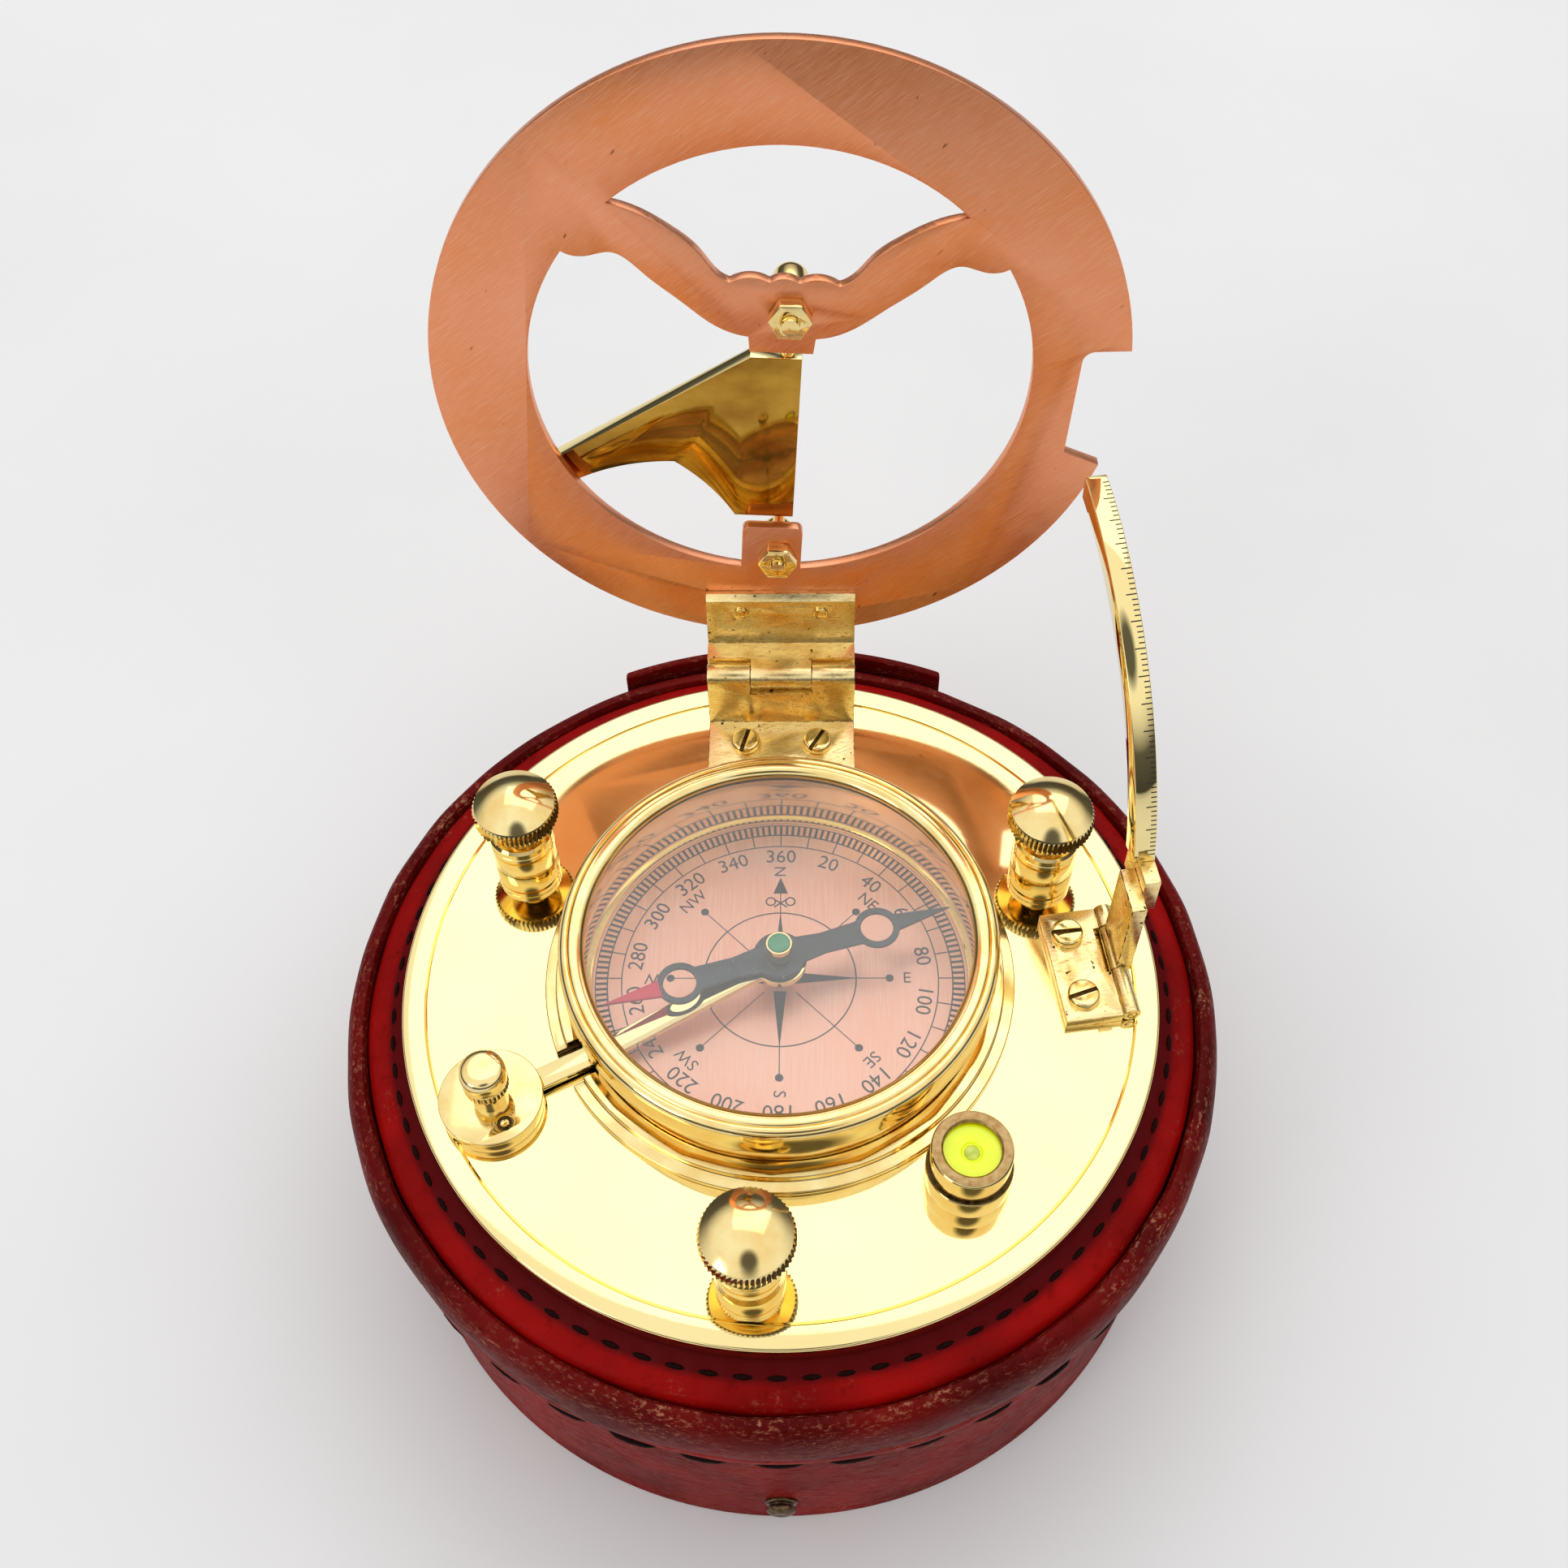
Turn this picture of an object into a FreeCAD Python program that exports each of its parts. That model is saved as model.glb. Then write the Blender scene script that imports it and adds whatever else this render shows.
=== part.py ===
"""Pocket sundial with a compass, an hour ring and a latitude arc, in the base of its leather case.

Millimetres. The origin is the centre of the case's underside, +Z up, +Y towards the hinge of the
hour ring, +X to the right. Each piece is one node, written to parts/NODE.step.
"""
import FreeCAD, Part
import math
import os

V = FreeCAD.Vector
X_AXIS = V(1, 0, 0)
Y_AXIS = V(0, 1, 0)
Z_AXIS = V(0, 0, 1)

# ---- driving dimensions ----
case_height = 46.9          # floor underside to the shelf that carries the plate
case_wall_radius = 56.6
case_wall_thickness = 3.0
case_floor_thickness = 2.5
floor_pad_thickness = 0.8
collar_width = 9.3
collar_height = 5.9
collar_slope_start = 5.2    # width of the sloping stitched band
collar_slope_drop = 2.5
welt_depth = 3.3
welt_height = 8.7
welt_rounding = 1.5
strap_width = 48.0
strap_thickness = 1.2
strap_height = 9.7
stud_height = 8.0           # centre of the press stud above the table
stud_radius = 2.5

plate_radius = 50.0
plate_thickness = 3.0
plate_seat_gap = 0.1
groove_radius = 46.8
groove_width = 0.4
groove_depth = 0.3
plate_edge_chamfer = 0.4

dial_thickness = 0.6
dial_sink = 1.0             # dial face below the plate's face
drum_radius = 27.3
drum_wall = 2.1
drum_height = 9.2
flange_width = 3.7          # from the drum's face to the foot's edge
flange_step_width = 2.2
flange_height = 0.9
flange_step_height = 2.0
bezel_wall = 1.0
bezel_height = 4.6
bezel_lip = 3.4
bezel_rounding = 0.9
glass_thickness = 1.0

needle_height = 5.0         # needle's mid plane above the plate
needle_thickness = 0.5
needle_angle = 18.0
needle_eye_radius = 3.0
needle_eye_place = 13.5
needle_hub_radius = 3.4
cap_radius = 1.7
cap_top = 8.2
pivot_radius = 0.7
pivot_point = 1.4           # length of the pivot's cone
cap_cup_depth = 1.6

lock_angle = 207.6
lock_distance = 40.8
cam_radius = 6.6
cam_height = 2.6
cam_rim = 0.6
cam_core_radius = 3.2
knob_stem_radius = 2.2
knob_radius = 2.95
knob_top = 10.5
knob_head = 4.6
cam_mark_radius = 0.7
lever_width = 2.8
lever_thickness = 1.0
lever_low = 0.55            # underside of the lever's outer part above the plate
lever_ring_radius = 3.6
lever_ring_bore = 2.1
lever_ring_low = 3.0
lever_tail = 4.3            # lever's outer end from the cam's centre
lever_pin_radius = 0.32
slot_side_gap = 1.2
slot_height = 3.4

level_distance = 36.73
level_angle = 309.4
level_radius = 5.4
level_wall = 1.45
level_height = 8.25
level_floor = 1.5
level_window_radius = 3.5
level_lid = 0.85
bubble_radius = 1.1

screw_distance = 40.5
screw_angles = {"left": 151.5, "right": 26.5, "front": 265.3}
pillar_radius = 4.35
pillar_height = 6.2
pillar_groove = 0.5
rod_radius = 1.25
rod_below_plate = 20.0
head_radius = 5.75
head_neck_radius = 2.4
head_low = 8.0
head_rim_low = 9.3
head_rim_high = 12.0
head_top = 14.2

hinge_y = 43.0
hinge_height = 10.0         # hinge axis above the plate
hinge_width = 21.0
knuckle_radius = 1.7
leaf_thickness = 1.6
middle_knuckle = 8.6
hinge_pin_radius = 0.8
foot_front = 30.5
foot_screw_y = 37.5
foot_screw_x = 5.2
flange_reach = 10.5         # leaf's length along the hour ring
mount_screw_head = 2.1
mount_screw_head_height = 1.0
mount_screw_shank = 1.0
mount_screw_length = 2.2
screw_slot = 0.6
rivet_radius = 1.0
rivet_x = 5.6
rivet_place = 7.5

ring_outer_radius = 43.6
ring_inner_radius = 31.5
ring_thickness = 1.5
ring_lift = 6.59            # ring's underside from the hinge axis
ring_centre_distance = 45.92
ring_opening = 95.1         # degrees from closed
ring_side_shift = 0.4
ring_twist = -3.1           # the ring's pattern is turned on its hinge by this much
notch_top = 5.9
notch_bottom = -9.4
notch_inner = 37.3
notch_slope = 2.1           # fall of the notch's lower edge towards the rim
hub_bottom = 4.05
hub_half_width = 3.95
boss_top = -24.1
boss_half_width = 4.1
post_side = 0.85            # posts and pivot line from the ring's middle line
post_place_top = 9.7
post_place_bottom = -29.03
post_radius = 2.4
hub_post_height = 7.9
foot_post_height = 5.6
stud_bolt_radius = 1.1
nut_flats = 4.7
nut_height = 2.0
stud_bolt_end = 1.0

gnomon_thickness = 2.2
gnomon_lift = 1.5           # pivot line above the ring's upper face
gnomon_top = 1.9
gnomon_foot = -23.6
gnomon_right = 1.85         # blade's edge from the pivot line
gnomon_pin_radius = 0.8
gnomon_pin_hold = 3.0

block_centre = (39.75, 0.6)
block_angle = 8.0
block_width = 7.5
block_length = 16.3
block_thickness = 1.6
block_screw_y = 4.7
block_screw_x = -0.8
arc_pin_offset = 4.86
arc_pin_height = 1.3
arc_knuckle_radius = 1.2
arc_pin_radius = 0.6
fold_relief = 0.8           # room in the block for the lug's foot as it folds
lug_low = -1.5
lug_high = 5.0
lug_thickness = 2.0
lug_inset = 0.5             # lug's inner face from the pin's axis
lug_rise = 6.0              # top of the lug above the hour ring's hinge line
bracket_grip = 4.0          # bracket's overlap on the lug's outer face
bracket_reach = 3.2
bracket_rise = 2.2
bracket_inset = 0.6
arc_outer_radius = 38.4
arc_inner_radius = 34.9
arc_thickness = 2.8
arc_offset = 4.13           # arc's outer face from the pin, measured outwards
arc_lean = 2.03
arc_start = 12.0
arc_end = 91.0
arc_centre_y = 41.8

# ---- named clearances ----
running_gap = 0.05          # a pin in the piece that turns on it
seat_gap = 0.02             # a fixed pin or screw in its hole
side_gap = 0.1              # between knuckles
dial_gap = 0.2              # dial's edge in the drum
needle_gap = 1.5            # needle's tip from the drum's wall
free_gap = 0.3              # between pieces that pass each other

# ---- places worked out from the sizes above ----
plate_low = case_height + plate_seat_gap
plate_top = plate_low + plate_thickness
hinge_z = plate_top + hinge_height
knuckle_end = middle_knuckle / 2 + side_gap
dial_radius = drum_radius - drum_wall - dial_gap
needle_length = drum_radius - drum_wall - needle_gap
flange_radius = drum_radius + flange_width
flange_step_radius = drum_radius + flange_step_width
lug_top = hinge_height + lug_rise


def disc(radius, low, high, at=(0, 0)):
    return Part.makeCylinder(radius, high - low, V(at[0], at[1], low))


def tube(outer, inner, low, high, at=(0, 0)):
    return disc(outer, low, high, at).cut(disc(inner, low - 1, high + 1, at))


def block(low, high):
    size = [b - a for a, b in zip(low, high)]
    return Part.makeBox(size[0], size[1], size[2], V(*low))


def polar(distance, angle):
    turn = math.radians(angle)
    return (distance * math.cos(turn), distance * math.sin(turn))


def spun(profile, at=(0, 0)):
    """Turn a closed outline of (radius, height) points about the upright line through at."""
    points = [V(r, 0, z) for r, z in profile]
    face = Part.Face(Part.makePolygon(points + points[:1]))
    solid = face.revolve(V(0, 0, 0), Z_AXIS, 360)
    solid.translate(V(at[0], at[1], 0))
    return solid


def slab(points, low, high):
    """Raise a closed outline of (x, y) points from low to high."""
    corners = [V(x, y, low) for x, y in points]
    return Part.Face(Part.makePolygon(corners + corners[:1])).extrude(V(0, 0, high - low))


def joined(first, *others):
    return first.fuse(list(others)).removeSplitter()


def turned(shape, angle, axis=Z_AXIS, about=V(0, 0, 0)):
    copy = shape.copy()
    copy.rotate(about, axis, angle)
    return copy


def moved(shape, x=0, y=0, z=0):
    copy = shape.copy()
    copy.translate(V(x, y, z))
    return copy


# ---- leather case ----
def case_pieces():
    wall_in = case_wall_radius - case_wall_thickness
    collar_out = case_wall_radius - 0.8
    collar_low = case_height - collar_height
    welt_out = collar_out + welt_depth
    welt_high = case_height - 1.9
    welt_low = welt_high - welt_height
    wall = spun([(wall_in, 0), (case_wall_radius, 0), (case_wall_radius, welt_low),
                 (collar_out, welt_low), (collar_out, collar_low), (wall_in, collar_low)])
    slope_end = case_height - collar_slope_drop
    collar = spun([(collar_out - collar_width, collar_low), (collar_out, collar_low), (collar_out, slope_end),
                   (collar_out - collar_slope_start, case_height), (collar_out - collar_width, case_height)])
    welt = tube(welt_out, collar_out, welt_low, welt_high)
    welt = welt.makeFillet(welt_rounding, [e for e in welt.Edges if on_radius(e, welt_out)])
    strap = tube(welt_out + strap_thickness, welt_out, welt_low, welt_low + strap_height)
    strap = strap.common(block((-strap_width / 2, 0, 0), (strap_width / 2, 2 * welt_out, 2 * welt_high)))
    return {
        "case_wall": wall,
        "case_floor": disc(wall_in, 0, case_floor_thickness),
        "case_floor_pad": disc(wall_in - free_gap, case_floor_thickness, case_floor_thickness + floor_pad_thickness),
        "case_collar": collar,
        "case_rim_welt": welt,
        "case_lid_strap": strap,
        "case_press_stud": press_stud(),
    }


def on_radius(edge, radius):
    is_circle = edge.Curve.TypeId == "Part::GeomCircle"
    return is_circle and abs(edge.Curve.Radius - radius) < 1e-6


def press_stud():
    base = disc(stud_radius + 0.5, -1.0, 0.5)
    neck = disc(stud_radius - 0.9, 0.5, 1.0)
    cap = disc(stud_radius, 1.0, 1.8)
    cap = cap.makeFillet(0.6, [e for e in cap.Edges if on_radius(e, stud_radius) and e.BoundBox.ZMin > 1.5])
    stud = turned(joined(base, neck, cap), 90, X_AXIS)
    stud = moved(stud, 0, -case_wall_radius, stud_height)
    return stud.cut(disc(case_wall_radius, 0, case_height))


# ---- plate and compass ----
def base_plate():
    plate = disc(plate_radius, plate_low, plate_top)
    plate = plate.makeChamfer(plate_edge_chamfer, [e for e in plate.Edges if on_radius(e, plate_radius)])
    groove_out = groove_radius + groove_width / 2
    plate = plate.cut(tube(groove_out, groove_out - groove_width, plate_top - groove_depth, plate_top + 1))
    plate = plate.cut(disc(dial_radius + seat_gap, plate_top - dial_sink - dial_thickness, plate_top + 1))
    for angle in screw_angles.values():
        plate = plate.cut(disc(rod_radius + running_gap, plate_low - 1, plate_top + 1, polar(screw_distance, angle)))
    for spot in foot_screw_spots() + block_screw_spots():
        plate = plate.cut(disc(mount_screw_shank + seat_gap, plate_top - mount_screw_length, plate_top + 1, spot))
    return plate


def lever_slot():
    half = lever_width / 2 + slot_side_gap
    slot = block((drum_radius - drum_wall - 2, -half, plate_top), (flange_radius + 1, half, plate_top + slot_height))
    return turned(slot, lock_angle)


def compass_pieces():
    dial_top = plate_top - dial_sink
    drum_top = plate_top + drum_height
    glass_top = drum_top + glass_thickness
    glass_radius = drum_radius - seat_gap
    bezel_out = drum_radius + bezel_wall
    bezel_top = glass_top + bezel_wall
    slot = lever_slot()
    drum = tube(drum_radius, drum_radius - drum_wall, plate_top, drum_top).cut(slot).cut(lever_pin(0))
    flange = spun([(drum_radius, plate_top), (flange_radius, plate_top), (flange_radius, plate_top + flange_height),
                   (flange_step_radius, plate_top + flange_height),
                   (flange_step_radius, plate_top + flange_step_height),
                   (drum_radius, plate_top + flange_step_height)]).cut(slot)
    bezel = spun([(drum_radius, bezel_top - bezel_height), (bezel_out, bezel_top - bezel_height),
                  (bezel_out, bezel_top), (bezel_out - bezel_lip, bezel_top),
                  (bezel_out - bezel_lip, glass_top), (drum_radius, glass_top)])
    rims = [e for e in bezel.Edges if e.BoundBox.ZMin > bezel_top - 0.01]
    return {
        "compass_dial": disc(dial_radius, dial_top - dial_thickness, dial_top),
        "compass_drum": drum,
        "compass_flange": flange,
        "compass_bezel": bezel.makeFillet(bezel_rounding, rims),
        "compass_glass": disc(glass_radius, drum_top, glass_top),
        "needle_pivot": needle_pivot(dial_top),
    }


def needle_pivot(low):
    point = plate_top + cap_top - 1.0 - running_gap
    return spun([(0, low), (pivot_radius, low), (pivot_radius, point - pivot_point), (0, point)])


def needle_blade():
    """One arm: waisted bar from the hub to the eye, then a tapering tip."""
    low = plate_top + needle_height - needle_thickness / 2
    high = low + needle_thickness
    eye_near = needle_eye_place - needle_eye_radius
    arm = slab([(0, -2.3), (6.0, -1.5), (eye_near + 0.6, -1.7), (eye_near + 0.6, 1.7), (6.0, 1.5), (0, 2.3)], low, high)
    eye = disc(needle_eye_radius, low, high, (needle_eye_place, 0))
    tip_start = needle_eye_place + needle_eye_radius - 0.5
    tip = slab([(tip_start, -1.25), (needle_length, 0), (tip_start, 1.25)], low, high)
    window = disc(needle_eye_radius - 0.85, low - 1, high + 1, (needle_eye_place, 0))
    return joined(arm, eye, tip).cut(window)


def needle_pieces():
    low = plate_top + needle_height - needle_thickness / 2
    arm = needle_blade()
    needle = joined(disc(needle_hub_radius, low, low + needle_thickness), arm, turned(arm, 180))
    needle = needle.cut(disc(cap_radius + seat_gap, low - 1, low + 2))
    cap = disc(cap_radius, low, plate_top + cap_top)
    cup_top = plate_top + cap_top - 1.0
    cup = spun([(0, low - 1), (pivot_radius + 0.4, low - 1), (pivot_radius + 0.4, cup_top - cap_cup_depth), (0, cup_top)])
    dot = disc(cap_radius - 0.3, plate_top + cap_top, plate_top + cap_top + 0.25)
    return {
        "compass_needle": turned(needle, needle_angle),
        "needle_cap": cap.cut(cup),
        "needle_cap_dot": dot,
    }


# ---- needle lock ----
def lever_pin(gap):
    half = lever_width / 2 + slot_side_gap + 1.0
    height = plate_top + lever_low + lever_thickness / 2
    place = drum_radius - drum_wall / 2
    pin = Part.makeCylinder(lever_pin_radius + gap, 2 * half, V(place, -half, height), Y_AXIS)
    return turned(pin, lock_angle)


def lock_lever():
    """Side outline of the cranked bar, raised to its width, with the lifting ring at its inner end."""
    low = plate_top + lever_low
    ring_low = plate_top + lever_ring_low
    reach = lock_distance - lever_tail
    bend_out = drum_radius - drum_wall - 1.5
    bend_in = lever_ring_radius + 2.0
    side = [(reach, low), (reach, low + lever_thickness), (bend_out, low + lever_thickness),
            (bend_in, ring_low + lever_thickness), (lever_ring_bore + 0.4, ring_low + lever_thickness),
            (lever_ring_bore + 0.4, ring_low), (bend_in, ring_low), (bend_out, low)]
    corners = [V(x, -lever_width / 2, z) for x, z in side]
    bar = Part.Face(Part.makePolygon(corners + corners[:1])).extrude(V(0, lever_width, 0))
    eye = disc(lever_ring_radius, ring_low, ring_low + lever_thickness)
    lever = joined(bar, eye).cut(disc(lever_ring_bore, ring_low - 1, ring_low + 5))
    return turned(lever, lock_angle).cut(lever_pin(running_gap))


def lock_pieces():
    spot = polar(lock_distance, lock_angle)
    top = plate_top + cam_height
    cam = spun([(0, plate_top), (cam_core_radius, plate_top), (cam_core_radius, top - cam_rim),
                (cam_radius, top - cam_rim), (cam_radius, top), (0, top)], spot)
    mark = disc(cam_mark_radius, top - cam_rim / 2, top + 1, (spot[0] + 2.2, spot[1] - 3.7))
    high = plate_top + knob_top
    head_low = high - knob_head
    knob = spun([(0, top), (knob_stem_radius, top), (knob_stem_radius, head_low), (knob_radius, head_low),
                 (knob_radius, high - 1.6), (knob_radius - 0.5, high - 0.6), (knob_radius - 1.4, high), (0, high)], spot)
    return {"lock_cam": cam.cut(mark), "lock_knob": knob, "lock_lever": lock_lever(), "lever_pin": lever_pin(-seat_gap)}


# ---- bull's-eye level ----
def level_pieces():
    spot = polar(level_distance, level_angle)
    top = plate_top + level_height
    bore = level_radius - level_wall
    floor = plate_top + level_floor
    lid_low = top - level_lid
    housing = spun([(0, plate_top), (level_radius, plate_top), (level_radius, top), (bore, top), (bore, floor),
                    (0, floor)], spot)
    vial = disc(bore - seat_gap, floor, lid_low, spot)
    bubble_centre = V(spot[0], spot[1], lid_low - bubble_radius - 0.3)
    return {
        "level_housing": housing,
        "level_vial": vial.cut(Part.makeSphere(bubble_radius, bubble_centre)),
        "level_bubble": Part.makeSphere(bubble_radius - seat_gap, bubble_centre),
        "level_lid_ring": tube(bore - seat_gap, level_window_radius, lid_low, top, spot),
    }


# ---- levelling screws ----
def levelling_screw(side, angle):
    spot = polar(screw_distance, angle)
    top = plate_top + pillar_height
    groove_mid = plate_top + pillar_height * 0.55
    pillar = disc(pillar_radius, plate_top, top, spot)
    groove = tube(pillar_radius + 1, pillar_radius - pillar_groove, groove_mid, groove_mid + pillar_groove, spot)
    pillar = pillar.cut(groove).cut(disc(rod_radius + running_gap, plate_top - 1, top + 1, spot))
    rod_top = plate_top + head_rim_low
    rod = disc(rod_radius, plate_top - rod_below_plate, rod_top, spot)
    rim_low = plate_top + head_rim_low
    rim_high = plate_top + head_rim_high
    head = spun([(0, plate_top + head_low), (head_neck_radius, plate_top + head_low), (head_neck_radius, rim_low),
                 (head_radius, rim_low), (head_radius, rim_high), (0, rim_high)], spot)
    rise = head_top - head_rim_high
    dome_radius = (head_radius ** 2 + rise ** 2) / (2 * rise)
    ball = Part.makeSphere(dome_radius, V(spot[0], spot[1], plate_top + head_top - dome_radius))
    dome = ball.common(disc(head_radius, rim_high, rim_high + rise + 1, spot))
    head = joined(head, dome).cut(disc(rod_radius + running_gap, plate_top, rod_top + running_gap, spot))
    return {f"screw_pillar_{side}": pillar, f"screw_rod_{side}": rod, f"screw_head_{side}": head}


# ---- small slotted screws on the plate ----
def foot_screw_spots():
    return [(-foot_screw_x, foot_screw_y), (foot_screw_x, foot_screw_y)]


def block_screw_spots():
    spots = [turned(Part.Vertex(block_screw_x, side * block_screw_y, 0), block_angle).Point for side in (-1, 1)]
    return [(block_centre[0] + p.x, block_centre[1] + p.y) for p in spots]


def slotted_screw(spot, seat, slot_angle):
    head_top_z = seat + mount_screw_head_height
    shank = disc(mount_screw_shank, plate_top - mount_screw_length, seat, spot)
    head = disc(mount_screw_head, seat, head_top_z, spot)
    head = head.makeFillet(0.45, [e for e in head.Edges if e.BoundBox.ZMin > head_top_z - 0.01 and on_radius(e, mount_screw_head)])
    slot = block((-mount_screw_head, -screw_slot / 2, head_top_z - 0.5), (mount_screw_head, screw_slot / 2, head_top_z + 1))
    return joined(shank, head).cut(moved(turned(slot, slot_angle), spot[0], spot[1]))


def mount_screws():
    foot_seat = plate_top + leaf_thickness
    block_seat = plate_top + block_thickness
    foot = [slotted_screw(spot, foot_seat, angle) for spot, angle in zip(foot_screw_spots(), (75, 60))]
    arc = [slotted_screw(spot, block_seat, angle) for spot, angle in zip(block_screw_spots(), (20, 5))]
    return {"hinge_foot_screws": Part.makeCompound(foot), "arc_block_screws": Part.makeCompound(arc)}


# ---- hour ring hinge, drawn with the ring closed (lying over the plate) and opened at the end ----
def opened(shape):
    return turned(shape, -ring_opening, X_AXIS, V(0, hinge_y, hinge_z))


def knuckle(x_low, x_high, bore):
    barrel = Part.makeCylinder(knuckle_radius, x_high - x_low, V(x_low, hinge_y, hinge_z), X_AXIS)
    return barrel.cut(Part.makeCylinder(bore, x_high - x_low + 2, V(x_low - 1, hinge_y, hinge_z), X_AXIS))


def hinge_foot():
    half = hinge_width / 2
    face = hinge_y - knuckle_radius
    sole = block((-half, foot_front, plate_top), (half, face + leaf_thickness, plate_top + leaf_thickness))
    sole = sole.cut(disc(flange_radius + free_gap / 3, plate_top - 1, plate_top + leaf_thickness + 1))
    riser = block((-half, face, plate_top), (half, face + leaf_thickness, hinge_z))
    middle_top = hinge_z - knuckle_radius - free_gap
    window = block((-knuckle_end, face - 1, middle_top), (knuckle_end, face + leaf_thickness + 1, hinge_z + 5))
    riser = riser.cut(window)
    riser = riser.cut(Part.makeCylinder(hinge_pin_radius + seat_gap, hinge_width, V(-half, hinge_y, hinge_z), X_AXIS))
    sides = [knuckle(-half, -knuckle_end, hinge_pin_radius + seat_gap), knuckle(knuckle_end, half, hinge_pin_radius + seat_gap)]
    foot = joined(sole, riser, *sides)
    for spot in foot_screw_spots():
        foot = foot.cut(disc(mount_screw_shank + seat_gap, plate_top - 1, plate_top + leaf_thickness + 1, spot))
    return foot


def hinge_leaf():
    half = hinge_width / 2
    mid = middle_knuckle / 2
    face = hinge_y - knuckle_radius
    under = hinge_z + ring_lift
    web = block((-mid, face, hinge_z), (mid, face + leaf_thickness, under))
    web = web.cut(Part.makeCylinder(hinge_pin_radius + running_gap, hinge_width, V(-half, hinge_y, hinge_z), X_AXIS))
    ledge = block((-half, face, hinge_z + knuckle_radius + free_gap), (half, face + leaf_thickness, under))
    reach = hinge_y - flange_reach
    flange = block((-half, reach, under - leaf_thickness), (half, face + leaf_thickness, under))
    nose = [e for e in flange.Edges if e.BoundBox.YMax < reach + 0.01 and e.BoundBox.ZMax < under - leaf_thickness + 0.01]
    flange = flange.makeChamfer(leaf_thickness / 2, nose)
    leaf = joined(web, ledge, flange, knuckle(-mid, mid, hinge_pin_radius + running_gap))
    return leaf.cut(leaf_rivets(seat_gap))


def leaf_rivets(gap=0.0):
    low = hinge_z + ring_lift - leaf_thickness - 0.3
    high = hinge_z + ring_lift + ring_thickness
    spot_y = hinge_y - rivet_place
    return Part.makeCompound([disc(rivet_radius + gap, low, high, (x, spot_y)) for x in (-rivet_x, rivet_x)])


def hinge_pieces():
    half = hinge_width / 2
    pin = Part.makeCylinder(hinge_pin_radius, hinge_width, V(-half, hinge_y, hinge_z), X_AXIS)
    return {
        "hinge_foot": hinge_foot(),
        "hinge_pin": pin,
        "hinge_leaf": opened(hinge_leaf()),
        "hinge_leaf_rivets": opened(leaf_rivets()),
    }


# ---- hour ring: its outline has its centre at (0, 0) and the hinge on the -v side ----
def curve(points):
    spline = Part.BSplineCurve()
    spline.interpolate([V(x, y, 0) for x, y in points])
    return spline.toShape()


def strut_outline():
    """Wing-shaped cross piece: arched above, scalloped at the hub, with a lobe and an S-curve below."""
    arch = [(23.0, 23.6), (17.0, 22.2), (13.3, 20.0), (10.3, 17.5), (7.4, 14.1), (6.6, 13.7)]
    scallops = [(6.6, 13.7), (3.8, 14.5), (1.8, 13.9)]
    crown = [(1.8, 13.9), (0, 14.5), (-1.8, 13.9)]
    below = [(27.5, 18.6), (26.7, 17.1), (23.9, 16.4), (20.8, 17.1), (16.7, 14.3), (12.5, 10.9), (8.9, 8.0),
             (hub_half_width + 0.2, 6.2)]
    mirror = [[(-x, y) for x, y in reversed(part)] for part in (scallops, arch)]
    left_below = [(-x, y) for x, y in below]
    edges = [curve(part) for part in (arch, scallops, crown, *mirror)]
    edges.append(Part.makeLine(V(-23.0, 23.6, 0), V(-27.5, 18.6, 0)))
    edges.append(curve(left_below))
    hub = [(-hub_half_width - 0.2, 6.2), (-hub_half_width, hub_bottom), (hub_half_width, hub_bottom),
           (hub_half_width + 0.2, 6.2)]
    edges += [Part.makeLine(V(a[0], a[1], 0), V(b[0], b[1], 0)) for a, b in zip(hub, hub[1:])]
    edges.append(curve(list(reversed(below))))
    edges.append(Part.makeLine(V(27.5, 18.6, 0), V(23.0, 23.6, 0)))
    return Part.Face(Part.Wire(Part.__sortEdges__(edges)))


def ring_notch():
    far = ring_outer_radius + 2
    cut = slab([(notch_inner, notch_bottom), (far, notch_bottom - notch_slope * 1.5), (far, notch_top + 0.6),
                (notch_inner, notch_top)], -1, ring_thickness + 1)
    corner = [e for e in cut.Edges if e.Length > ring_thickness + 1.9 and abs(e.BoundBox.YMin - notch_top) < 0.01
              and abs(e.BoundBox.XMin - notch_inner) < 0.01 and e.BoundBox.ZLength > ring_thickness]
    return cut.makeFillet(1.6, corner)


def hour_ring_flat():
    annulus = tube(ring_outer_radius, ring_inner_radius, 0, ring_thickness)
    strut = strut_outline().extrude(V(0, 0, ring_thickness))
    strut = strut.common(disc(ring_inner_radius + 1.5, -1, ring_thickness + 1))
    boss = block((-boss_half_width, -ring_inner_radius - 3, 0), (boss_half_width, boss_top, ring_thickness))
    corners = [e for e in boss.Edges if e.BoundBox.YMin > boss_top - 0.01 and e.BoundBox.ZLength > 1]
    boss = boss.makeFillet(1.0, corners)
    ring = joined(annulus, strut, boss).cut(ring_notch())
    for place in (post_place_top, post_place_bottom):
        ring = ring.cut(disc(stud_bolt_radius + seat_gap, -1, ring_thickness + 1, (post_side, place)))
    return ring


def on_ring(shape):
    """Put a piece drawn on the ring's outline, seen from below, at its place over the plate, then open it."""
    centre_y = hinge_y - ring_centre_distance
    flat = turned(shape, ring_twist).mirror(V(0, 0, 0), Y_AXIS)
    return opened(moved(flat, ring_side_shift, centre_y, hinge_z + ring_lift))


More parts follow.
